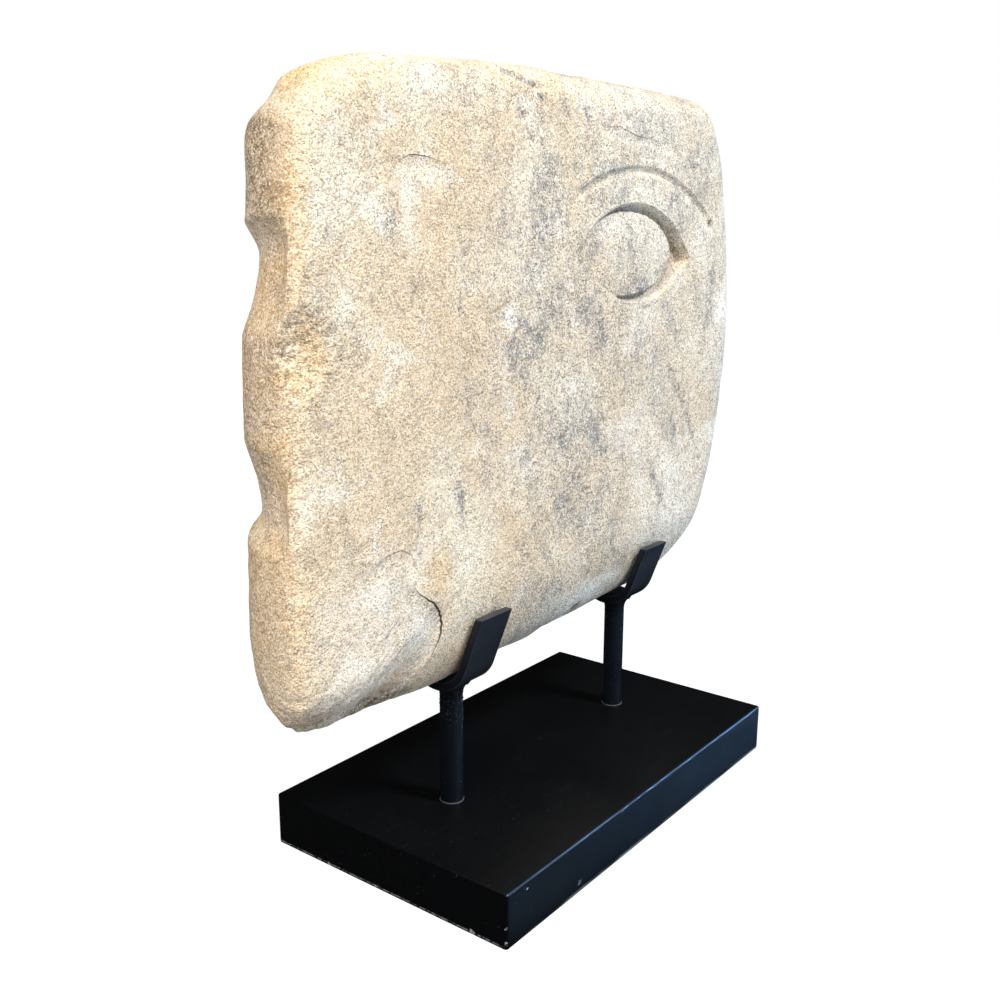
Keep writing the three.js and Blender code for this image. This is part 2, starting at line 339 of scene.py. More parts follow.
class Finish:
    """The parts that every surface's material shares."""

    name = "finish"

    def __init__(self) -> None:
        """Starts the material with its shader and its place on the surface."""
        self.material = bpy.data.materials.new(self.name)
        self.material.use_nodes = True
        self.graph = Graph(self.material.node_tree)
        self.place = self.graph.output(self.graph.node("ShaderNodeTexCoord"), "Object")

    def _laid(self, scale: Sequence[float], shift: float) -> bpy.types.NodeSocket:
        """Returns the place on the surface, scaled and moved for one pattern."""
        placed = self.graph.node("ShaderNodeMapping", None, {
            "Vector": self.place, "Location": (shift, shift, shift), "Scale": scale,
        })
        return self.graph.output(placed)

    def speckle(self, size: float, detail: float = 2.0, roughness: float = 0.5,
                stretch: Sequence[float] = (1, 1, 1), shift: float = 0.0) -> Signal:
        """Adds a noise pattern.

        Args:
            size: About how far apart its humps lie.
            detail: How many finer layers it has.
            roughness: How strong the finer layers are.
            stretch: How many times longer the humps are along each axis.
            shift: Moves the pattern, so that two patterns of a size differ.

        Returns:
            A number of about 0.3 to 0.7.
        """
        scale = [1 / (size * factor) for factor in stretch]
        made = self.graph.node("ShaderNodeTexNoise", None, {
            "Vector": self._laid(scale, shift), "Scale": 1.0, "Detail": detail, "Roughness": roughness,
        })
        return self.graph.signal(made, "Fac")

    def grit(self, size: float, shift: float = 0.0) -> tuple[Signal, Signal]:
        """Adds a pattern of single grains.

        Args:
            size: About how wide a grain is.
            shift: Moves the pattern.

        Returns:
            A random number from 0 to 1 for each grain, and the distance from the grain's middle.
        """
        made = self.graph.node("ShaderNodeTexVoronoi", None, {
            "Vector": self._laid([1 / size] * 3, shift), "Scale": 1.0, "Randomness": 1.0,
        })
        split = self.graph.node("ShaderNodeSeparateColor", None, {"Color": self.graph.output(made, "Color")})
        return self.graph.signal(split), self.graph.signal(made, "Distance")

    def painted(self, name: str) -> Signal:
        """Reads a number that the mesh carries at its vertices."""
        made = self.graph.node("ShaderNodeAttribute", {"attribute_name": name})
        return self.graph.signal(made, "Fac")

    def mix(self, share: Any, under: Any, over: Any) -> bpy.types.NodeSocket:
        """Lays one colour over another.

        Args:
            share: How much of the upper colour shows, from 0 to 1.
            under: The lower colour.
            over: The upper colour.

        Returns:
            The mixed colour.
        """
        made = self.graph.node("ShaderNodeMix", {"data_type": "RGBA"}, {
            "Factor_Float": share, "A_Color": under, "B_Color": over,
        })
        return self.graph.output(made, "Result_Color")

    def bump(self, height: Signal, depth: float, under: Any = None) -> bpy.types.NodeSocket:
        """Adds fine relief.

        Args:
            height: The relief, of about 0 to 1.
            depth: How deep a change of 1 is.
            under: A coarser relief that this one lies on.

        Returns:
            The direction that the surface faces.
        """
        values = {"Height": height, "Distance": depth, "Strength": 1.0}
        if under is not None:
            values["Normal"] = under
        return self.graph.output(self.graph.node("ShaderNodeBump", None, values))

    def close(self, **values: Any) -> bpy.types.Material:
        """Adds the shader and ends the material.

        Args:
            values: For each of the shader's inputs, with _ for a space, its value.

        Returns:
            The material.
        """
        inputs = {name.replace("_", " "): value for name, value in values.items()}
        shader = self.graph.node("ShaderNodeBsdfPrincipled", None, inputs)
        self.graph.node("ShaderNodeOutputMaterial", None, {"Surface": self.graph.output(shader)})
        return self.material


class Sandstone(Finish):
    """Worn, weathered sandstone, with painted shade and light. The mesh says where it is stained, grey, pale
    or cracked, and where shade and light are painted on.
    """

    name = "sandstone"
    cream = paint(230, 221, 200)
    warm = paint(219, 198, 166)
    cool = paint(203, 202, 196)
    grey = paint(186, 184, 180)
    rose = paint(208, 187, 156)
    end_shade_tone = paint(176, 140, 104)
    blue_grey = paint(108, 114, 122)
    ochre = paint(218, 184, 130)
    # Painted shade: the brown laid on faces that turn towards the left end.
    white = paint(248, 247, 242)
    umber = paint(104, 85, 64)
    shade = paint(118, 103, 88)
    # Painted shadow: the dark line under a crack's step.
    crack = paint(84, 72, 62)

    def make(self) -> bpy.types.Material:
        """Builds the material."""
        broad = self.speckle(0.085, 3)
        patch = self.speckle(0.030, 4, 0.65, shift=3.1)
        mottle = self.speckle(0.013, 4, 0.7, shift=9.4)
        streak = self.speckle(0.010, 4, 0.7, stretch=(1, 1, 2.0), shift=5.7)
        cluster = self.speckle(0.045, 2, shift=6.6)
        fleck = self.speckle(0.0040, 3, 0.75, shift=1.9)
        peck = self.speckle(0.0036, 2, 0.6, shift=2.7)
        grain = self.speckle(0.00085, 3, 0.6)
        tooth = self.speckle(0.00130, 1, 0.5, shift=7.7)
        _, chisel = self.grit(0.0042)
        sand, sand_dome = self.grit(0.00070, 8.3)
        grey_sand, _ = self.grit(0.00090, 4.9)
        weathered = self.painted("weathered")
        stained = self.painted("stained")
        bleached_and_lit = self.painted("bleached_and_lit")
        painted_shade = self.painted("painted_shade")
        pecked = self.painted("pecked")
        scarred = (self.painted("scarred") + 2.6 * fleck).rise(1.70, 2.10)
        side = self.painted("crack_side")
        line = (self.painted("crack_shadow") - abs(side) * 1.7).rise(0.0, 0.6)
        lower = self.painted("crack_shadow") * side.rise(-0.3, 0.5)

        colour = self.mix(broad.rise(0.40, 0.62), self.cream, self.warm)
        colour = self.mix(0.60 * patch.rise(0.50, 0.64), colour, self.rose)
        colour = self.mix(0.48 * weathered, colour, self.cool)
        colour = self.mix(0.25 * mottle.rise(0.53, 0.64), colour, self.shade)
        colour = self.mix(0.45 * patch.rise(0.46, 0.34), colour, self.white)
        # Painted shade on the faces that turn towards the left end.
        colour = self.mix(0.38 * self.painted("end_shade"), colour, self.end_shade_tone)
        colour = self.mix(0.34 * weathered * cluster.rise(0.30, 0.60), colour, self.grey)
        colour = self.mix(0.75 * stained * (0.4 + patch.rise(0.38, 0.6)), colour, self.ochre)
        aged = weathered * (0.35 + cluster.rise(0.42, 0.60))
        spots = (streak + 0.14 * aged).rise(0.52, 0.70) * (0.35 + fleck.rise(0.42, 0.56))
        colour = self.mix((0.12 + 0.40 * aged) * spots, colour, self.blue_grey)
        flecks = (fleck + 0.08 * aged).rise(0.58, 0.67)
        colour = self.mix((0.12 + 0.40 * aged) * flecks, colour, self.blue_grey)
        dark_grains = (grey_sand + 0.25 * aged + 0.8 * streak).rise(1.34, 1.44)
        colour = self.mix(0.55 * dark_grains, colour, self.blue_grey)
        # Paler, fresher stone, and painted light along the lower edge at the right, on the right end and just
        # under the crack at the upper left.
        colour = self.mix(0.8 * bleached_and_lit * (0.4 + patch.rise(0.4, 0.6)), colour, self.white)
        colour = self.mix(scarred * (0.46 + 0.45 * grey_sand), colour, self.blue_grey)
        # Painted shade: in the carving, in the dents under the lower edge, in the eye's inner corner, along
        # the hollow's upper rim and over the left end.
        colour = self.mix(0.85 * painted_shade * (0.5 + fleck.rise(0.4, 0.6)), colour, self.umber)
        colour = self.mix(0.32 * grain.rise(0.52, 0.64), colour, self.shade)
        colour = self.mix(0.30 * grain.rise(0.48, 0.38), colour, self.white)
        colour = self.mix((0.50 + 0.45 * weathered) * sand.rise(0.60, 0.98), colour, self.shade)
        colour = self.mix(0.30 * pecked * peck.rise(0.48, 0.62), colour, self.umber)
        colour = self.mix(0.45 * sand.rise(0.35, 0.0), colour, self.white)
        # Painted shadow along each crack's step.
        colour = self.mix(0.92 * line, colour, self.crack)

        relief = self.bump(patch + 0.5 * streak, 0.0010)
        chiselled = pecked * (peck * 1.7 + chisel * 0.8)
        relief = self.bump(fleck + chiselled, 0.0012, relief)
        relief = self.bump(0 - tooth, 0.0003, relief)
        relief = self.bump(0 - grain, 0.0006, relief)
        relief = self.bump(0 - sand_dome, 0.00008, relief)
        relief = self.bump(0 - 0.6 * line - lower, 0.0010, relief)
        return self.close(
            Base_Color=colour,
            Roughness=0.93,
            Specular_IOR_Level=0.15,
            Normal=relief,
        )


class BaseLacquer(Finish):
    """Satin black lacquer over wood, with dust, fine scratches and a few worn chips, and painted highlights
    along its long upper edge and just above its foot.
    """

    name = "base_lacquer"
    # The painted highlight just above the foot: its height and half its width.
    foot_highlight = 0.0016
    foot_highlight_half = 0.0007
    black = paint(5, 6, 8)
    dust = paint(92, 98, 106)
    # Worn lacquer at the chips, and the painted highlight above the foot.
    worn_and_highlight = paint(150, 158, 170)
    # Painted highlight along the long upper edge of the carved side.
    arris = paint(60, 84, 112)

    def make(self) -> bpy.types.Material:
        """Builds the material."""
        cloud = self.speckle(0.05, 3)
        orange_peel = self.speckle(0.0022, 1)
        mote = self.speckle(0.0016, 1, shift=4.4)
        scratch = self.speckle(0.0011, 2, stretch=(26, 1.4, 1), shift=2.3)
        ragged = self.speckle(0.0017, 2, 0.7, shift=5.1)
        chipped = (self.painted("chipped") + ragged).rise(0.92, 1.0)
        colour = self.mix(0.25 * mote.rise(0.74, 0.79), self.black, self.dust)
        colour = self.mix(0.03 * scratch.rise(0.66, 0.74) * cloud.rise(0.4, 0.6), colour, self.dust)
        # Painted highlight along the long upper edge.
        edge = self.painted("edge") * (0.55 + 0.45 * cloud.rise(0.35, 0.6))
        colour = self.mix(edge, colour, self.arris)
        place = self.graph.node("ShaderNodeSeparateXYZ", None, {"Vector": self.place})
        height = self.graph.signal(place, "Z")
        # Painted highlight: a thin broken pale line just above the foot.
        painted_highlight = abs(height - self.foot_highlight).rise(self.foot_highlight_half, 0) * scratch.rise(0.42, 0.56)
        colour = self.mix(0.55 * painted_highlight, colour, self.worn_and_highlight)
        colour = self.mix(0.75 * chipped, colour, self.worn_and_highlight)
        relief = self.bump(orange_peel, 0.00004)
        return self.close(
            Base_Color=colour,
            Roughness=0.34 + 0.10 * cloud.rise(0.35, 0.65) + 0.3 * chipped,
            Specular_IOR_Level=0.32,
            Normal=relief,
        )


class StandSteel(Finish):
    """Satin black paint over bent and welded steel, with painted highlights on its edges, tips and beads."""

    name = "stand_steel"
    black = paint(12, 18, 27)
    dust = paint(88, 96, 108)
    # Painted highlight colour.
    painted_highlight = paint(120, 128, 140)

    def make(self) -> bpy.types.Material:
        """Builds the material."""
        cloud = self.speckle(0.018, 3)
        brushed = self.speckle(0.0012, 2, stretch=(1, 1, 5), shift=6.2)
        mote = self.speckle(0.0011, 1, shift=3.7)
        # Painted highlight along the bar's edges and tips, on the collar, the weld's beads and the drops.
        painted_highlight = self.painted("painted_highlight")
        colour = self.mix(0.35 * mote.rise(0.71, 0.78), self.black, self.dust)
        colour = self.mix(0.6 * painted_highlight, colour, self.painted_highlight)
        relief = self.bump(brushed + cloud, 0.00012)
        return self.close(
            Base_Color=colour,
            Metallic=0.10,
            Roughness=0.32 + 0.18 * cloud.rise(0.35, 0.65),
            Specular_IOR_Level=0.40,
            Normal=relief,
        )


class FloorWhite(Finish):
    """The pale floor. It glows a little, more so away from the object, so that it has no horizon."""

    name = "floor_white"
    near = paint(252, 252, 253)
    far = paint(255, 255, 255)
    cast = paint(180, 180, 180)
    sheen = paint(82, 114, 146)
    dark = paint(0, 0, 0)
    lit = paint(90, 90, 90)
    horizon = (0.2, 0.9)
    strip_start = (-0.15, -0.12)
    strip_depth = (-0.07, -0.10)

    def make(self) -> bpy.types.Material:
        """Builds the material."""
        reach = self.graph.node("ShaderNodeVectorMath", {"operation": "LENGTH"}, {"Vector": self.place})
        share = self.graph.signal(reach, "Value").rise(*self.horizon)
        glow = self.mix(share, self.near, self.far)
        light_path = self.graph.node("ShaderNodeLightPath")
        lighting = self.graph.signal(light_path, "Is Diffuse Ray")
        mirrored = self.graph.signal(light_path, "Is Glossy Ray")
        place = self.graph.node("ShaderNodeSeparateXYZ", None, {"Vector": self.place})
        x, y = (self.graph.signal(place, axis) for axis in "XY")
        ahead = x.rise(*self.strip_start) * y.rise(*self.strip_depth)
        seen = self.mix(lighting, glow, self.cast)
        return self.close(
            Base_Color=self.mix(mirrored, self.lit, self.dark),
            Roughness=1.0,
            Specular_IOR_Level=0.0,
            Emission_Color=self.mix(mirrored, seen, self.mix(ahead, self.dark, self.sheen)),
            Emission_Strength=1.0,
        )


def add_object(name: str, data: Any) -> bpy.types.Object:
    """Puts a mesh, a light or a camera into the scene under a name."""
    made = bpy.data.objects.new(name, data)
    bpy.context.scene.collection.objects.link(made)
    return made


def mesh_from(name: str, points: np.ndarray, faces: Iterable[Sequence[int]]) -> bpy.types.Mesh:
    """Makes a smooth mesh.

    Args:
        name: The mesh's name.
        points: Its vertices, one row each.
        faces: The vertices of each face.

    Returns:
        The mesh.
    """
    mesh = bpy.data.meshes.new(name)
    mesh.from_pydata(points.tolist(), [], faces)
    mesh.polygons.foreach_set("use_smooth", [True] * len(mesh.polygons))
    mesh.update()
    return mesh


def vectors_of(items: Any, name: str) -> np.ndarray:
    """Reads a vector of each of a mesh's vertices, as rows."""
    values = np.empty(3 * len(items))
    items.foreach_get(name, values)
    return values.reshape(-1, 3)


def flatten(piece: bpy.types.Object, modifier: bpy.types.Modifier) -> None:
    """Turns what a modifier makes into the piece's own plain mesh."""
    bpy.context.view_layer.update()
    depsgraph = bpy.context.evaluated_depsgraph_get()
    flat = bpy.data.meshes.new_from_object(piece.evaluated_get(depsgraph))
    piece.modifiers.remove(modifier)
    piece.data = flat


def carry(mesh: bpy.types.Mesh, name: str, values: np.ndarray) -> None:
    """Writes a number at each vertex, for a material to read."""
    attribute = mesh.attributes.new(name, "FLOAT", "POINT")
    attribute.data.foreach_set("value", values.astype(np.float32))


def settle(piece: bpy.types.Object, node: str, material: bpy.types.Material) -> None:
    """Dresses a piece, puts it in the body and hides the solid that it stands for.

    Args:
        piece: The piece.
        node: The solid that it replaces.
        material: Its material.
    """
    piece.data.materials.clear()
    piece.data.materials.append(material)
    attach(piece, BODY)
    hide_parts(node)
    LOG.info("%s: %d faces", piece.name, len(piece.data.polygons))


@dataclass(frozen=True)
class EdgeTurn:
    """How the stone's edge turns on one side, from its crest to the two faces.

    Attributes:
        crest: Where the outermost line of the stone lies between the faces, as a Y.
        front: How far in from the outline the carved face begins.
        front_power: 0.5 for an ellipse, and more for a blunter point.
        back: The same for the back.
        back_power: The same for the back.
    """

    crest: float
    front: float
    front_power: float
    back: float
    back_power: float


@dataclass(frozen=True)
class EdgeLoss:
    """A broken place along the stone's edge.

    Attributes:
        at: Where it is deepest.
        depth: How deep it goes. Below 0 it stands proud.
        before: How far it reaches before that point, clockwise.
        after: How far it reaches after it.
    """

    at: Pair
    depth: float
    before: float
    after: float


@dataclass(frozen=True)
class Arc:
    """A circle in the plane of the carved face."""

    centre: Pair
    radius: float

    def exit(self, start: np.ndarray, way: np.ndarray) -> np.ndarray:
        """Measures how far a ray from inside the circle goes before it leaves.

        Args:
            start: Where the rays start.
            way: Their unit directions, one row each.

        Returns:
            A length for each ray.
        """
        offset = start - np.array(self.centre)
        along = way @ offset
        return -along + np.sqrt(along ** 2 - offset @ offset + self.radius ** 2)


@dataclass(frozen=True)
class CarvedEye:
    """The eye, set out with plain circles. Its depths are measured in from the carved face.

    Attributes:
        upper: The circle of the opening's upper side.
        lower: The circle of its lower side.
        corners: The X of the opening's two corners.
        floor: The opening's depth at the two corners.
        wall: How far the opening's wall leans in.
        ball: The middle of the eyeball.
        half_length: Half the ball's length.
        half_height: Half its height.
        crown: The depth of the ball's top.
        rim: The depth of its rim.
        arris: How much deeper the rim's rounded edge ends.
        groove: The circle of the groove over the lid.
        groove_span: The groove's first and last angle in degrees.
        groove_half: Half the groove's width.
        groove_depth: Its depth.
        groove_fade: The share of its length over which each end runs out.
        arris_start: The share of the way to the rim at which its rounded edge begins.
    """

    upper: Arc = Arc((0.052, 0.270), 0.082)
    lower: Arc = Arc((0.057, 0.381), 0.084)
    corners: Pair = (-0.0073, 0.1161)
    floor: Pair = (0.0032, 0.0070)
    wall: float = 0.0014
    ball: Pair = (0.046, 0.324)
    half_length: float = 0.051
    half_height: float = 0.024
    crown: float = 0.0009
    rim: float = 0.0024
    arris: float = 0.0009
    groove: Arc = Arc((0.057, 0.229), 0.141)
    groove_span: Pair = (123, 44)
    groove_half: float = 0.0029
    groove_depth: float = 0.0024
    groove_fade: float = 0.16
    arris_start: float = 0.965

    def opening(self, way: np.ndarray) -> np.ndarray:
        """Measures from the ball's middle to the opening's edge in each direction."""
        start = np.array(self.ball)
        return np.minimum(self.upper.exit(start, way), self.lower.exit(start, way))

    def ball_edge(self, way: np.ndarray) -> np.ndarray:
        """Measures from the ball's middle to its rim in each direction."""
        return 1 / np.hypot(way[:, 0] / self.half_length, way[:, 1] / self.half_height)

    def groove_share(self, spot: np.ndarray) -> np.ndarray:
        """Says how full the groove is at the nearest point of its arc, from 0 to 1."""
        arm = spot - np.array(self.groove.centre)
        angle = np.degrees(np.arctan2(arm[:, 1], arm[:, 0]))
        first, last = self.groove_span
        along = (angle - first) / (last - first)
        return np.clip(np.minimum(along, 1 - along) / self.groove_fade, 0, 1)

    def depth(self, spot: np.ndarray) -> np.ndarray:
        """Works out how deep the carving is at each place of the carved face.

        Args:
            spot: Places as X and Z, one row each.

        Returns:
            The depth at each place.
        """
        arm = spot - np.array(self.ball)
        reach = np.maximum(np.hypot(arm[:, 0], arm[:, 1]), TINY)
        way = arm / reach[:, None]
        edge = self.opening(way)
        floor = np.interp(spot[:, 0], self.corners, self.floor)
        sunk = floor * np.clip((edge - reach) / self.wall, 0, 1)
        out = reach / self.ball_edge(way)
        dome = self.crown + (self.rim - self.crown) * out ** 3
        dome += self.arris * np.clip((out - self.arris_start) / (1 - self.arris_start), 0, 1) ** 2
        sunk = np.where(out <= 1, np.minimum(sunk, dome), sunk)
        arm = spot - np.array(self.groove.centre)
        off = np.abs(np.hypot(arm[:, 0], arm[:, 1]) - self.groove.radius)
        share = self.groove_share(spot)
        cut = self.groove_depth * share - off * self.groove_depth / self.groove_half
        return np.maximum(sunk, np.maximum(cut, 0))


MARK_BORDER = (1.25, 0.25)
MARK_WANDER = 0.5
DENT_BORDER = (1.0, 0.25)
DENT_WANDER = 0.18
SCAR_BORDER = (1.5, 0.2)
SCAR_WANDER = 0.4


class Patch(Enum):
    """What the weather has done to a place on the stone, and where shade and light are painted on it."""

    WEATHERED = "weathered"
    # Paler stone, and painted light.
    STAINED = "stained"
    BLEACHED_AND_LIT = "bleached_and_lit"
    # Painted shade.
    PAINTED_SHADE = "painted_shade"


@dataclass(frozen=True)
class Mark:
    """A soft-edged coloured place on the stone.

    Attributes:
        at: Its middle.
        reach: How far it reaches along X, Y and Z.
        strength: How strong it is, from 0 to 1.
        turn: How far it is turned clockwise on the carved face, in degrees.
    """

    at: Triple
    reach: Triple
    strength: float
    turn: float = 0

    def share(self, points: np.ndarray, wander: np.ndarray) -> np.ndarray:
        """Says how strong the mark is at each point.

        Args:
            points: The stone's points.
            wander: Makes its border irregular: a number of about -1 to 1 for each point.

        Returns:
            A number from 0 to the mark's strength.
        """
        arm = points - np.array(self.at)
        turn = math.radians(self.turn)
        across = arm[:, 0] * math.cos(turn) - arm[:, 2] * math.sin(turn)
        upward = arm[:, 0] * math.sin(turn) + arm[:, 2] * math.cos(turn)
        scaled = np.column_stack([across, arm[:, 1], upward]) / np.array(self.reach)
        out = np.linalg.norm(scaled, axis=1)
        return self.strength * soft_step(out + MARK_WANDER * wander, *MARK_BORDER)


@dataclass(frozen=True)
class Dent:
    """A shallow round hollow in the stone's surface.

    Attributes:
        at: Its middle.
        reach: How far it reaches along X, Y and Z.
        depth: How deep it is.
    """

    at: Triple
    reach: Triple
    depth: float

    def sink(self, points: np.ndarray, wander: np.ndarray) -> np.ndarray:
        """Works out how far each point is pushed in."""
        out = np.linalg.norm((points - np.array(self.at)) / np.array(self.reach), axis=1)
        return self.depth * soft_step(out + DENT_WANDER * wander, *DENT_BORDER)


@dataclass(frozen=True)
class Scar:
    """A dark narrow pit or a row of small ones on the carved face.

    Attributes:
        start: One end.
        end: The other.
        half_width: Half its width.
        depth: How deep it is.
        strength: How dark it is, from 0 to 1.
    """

    start: Pair
    end: Pair
    half_width: float
    depth: float
    strength: float

    def share(self, spot: np.ndarray, wander: np.ndarray) -> np.ndarray:
        """Says how far inside the scar each place of the carved face lies, from 0 to 1.

        Args:
            spot: Places as X and Z, one row each.
            wander: Makes its border irregular: a number of about -1 to 1 for each place.

        Returns:
            The share for each place.
        """
        start = np.array(self.start)
        run = np.array(self.end) - start
        along = np.clip((spot - start) @ run / (run @ run), 0, 1)
        gap = np.linalg.norm(spot - start - along[:, None] * run, axis=1)
        return soft_step(gap / self.half_width + SCAR_WANDER * wander, *SCAR_BORDER)


@dataclass(frozen=True)
class Crack:
    """A crack or a low step along a path on the carved face, with a painted shadow line along the step.

    Attributes:
        path: The points that it runs through.
        drop: How much lower the stone is on the right of the path.
        fade: How far the lower ground reaches.
        dark: How dark its painted shadow line is, from 0 to 1.
        wobble: How far the line strays from its path.
        end_hold: How far past its ends the line is gone, and is full.
        side_rise: Where across the line the lower ground begins and is full.
        swell: How dark the line is past that, and how much darker it grows towards its middle.
    """

    path: tuple[Pair, ...]
    drop: float
    fade: float
    dark: float
    wobble: float = 0.0007
    stray: Unevenness = Unevenness(31, 0.004, 2)
    step: float = 0.0004
    smooth: int = 12
    end_hold: Pair = (0.0035, 0.0005)
    side_rise: Pair = (-0.0004, 0.0032)
    side_flat: float = 0.15
    end_reach: float = 0.9
    taper: float = 0.15
    swell: Pair = (0.7, 0.8)

    def _line(self) -> np.ndarray:
        """Makes the line's own points, close together, with a slight wobble."""
        corners = np.array(self.path)
        run = np.concatenate([[0], np.cumsum(np.linalg.norm(np.diff(corners, axis=0), axis=1))])
        even = np.arange(0, run[-1], self.step)
        line = np.stack([np.interp(even, run, corners[:, axis]) for axis in (0, 1)], 1)
        ends = np.pad(line, ((self.smooth, self.smooth), (0, 0)), mode="edge")
        window = np.ones(2 * self.smooth + 1) / (2 * self.smooth + 1)
        line = np.stack([np.convolve(ends[:, axis], window, mode="valid") for axis in (0, 1)], 1)
        places = np.column_stack([line, np.full(len(line), 0.5)])
        line[:, 0] += self.wobble * self.stray.stray(places)
        line[:, 1] += self.wobble * self.stray.stray(places + 1)
        return line

    def lay(self, spot: np.ndarray) -> dict[str, np.ndarray]:
        """Works out what the crack does to places on the carved face.

        Args:
            spot: Places as X and Z, one row each.

        Returns:
            For each place, how far it sinks, how dark the painted shadow line is there, how many
            millimetres it lies to the line's right, and how much of the lower ground it has.
        """
        line = self._line()
        way = np.gradient(line, axis=0)
        way /= np.linalg.norm(way, axis=1)[:, None]
        low, high = line.min(0) - self.fade, line.max(0) + self.fade
        near = np.flatnonzero(np.all((spot > low) & (spot < high), axis=1))
        gap = spot[near, None, :] - line[None, :, :]
        nearest = np.argmin(np.sum(gap ** 2, -1), axis=1)
        gap = gap[np.arange(len(near)), nearest]
        way = way[nearest]
        right = gap[:, 0] * way[:, 1] - gap[:, 1] * way[:, 0]
        to_end = np.minimum(nearest, len(line) - 1 - nearest) / (len(line) - 1)
        past_end = np.abs(np.sum(gap * way, 1))
        held = soft_step(past_end, *self.end_hold)
        lower = soft_step(right, *self.side_rise) * soft_step(right, self.fade, self.fade * self.side_flat)
        lower *= soft_step(past_end, self.end_reach * self.fade, 0)
        values = {name: np.zeros(len(spot)) for name in ("sink", "dark", "side", "ground")}
        values["ground"][near] = lower
        values["sink"][near] = self.drop * lower
        least, more = self.swell
        swell = soft_step(to_end, 0, self.taper) * (least + more * soft_step(to_end, self.taper, 0.5))
        values["dark"][near] = self.dark * swell * held
        values["side"][near] = right * 1000
        return values


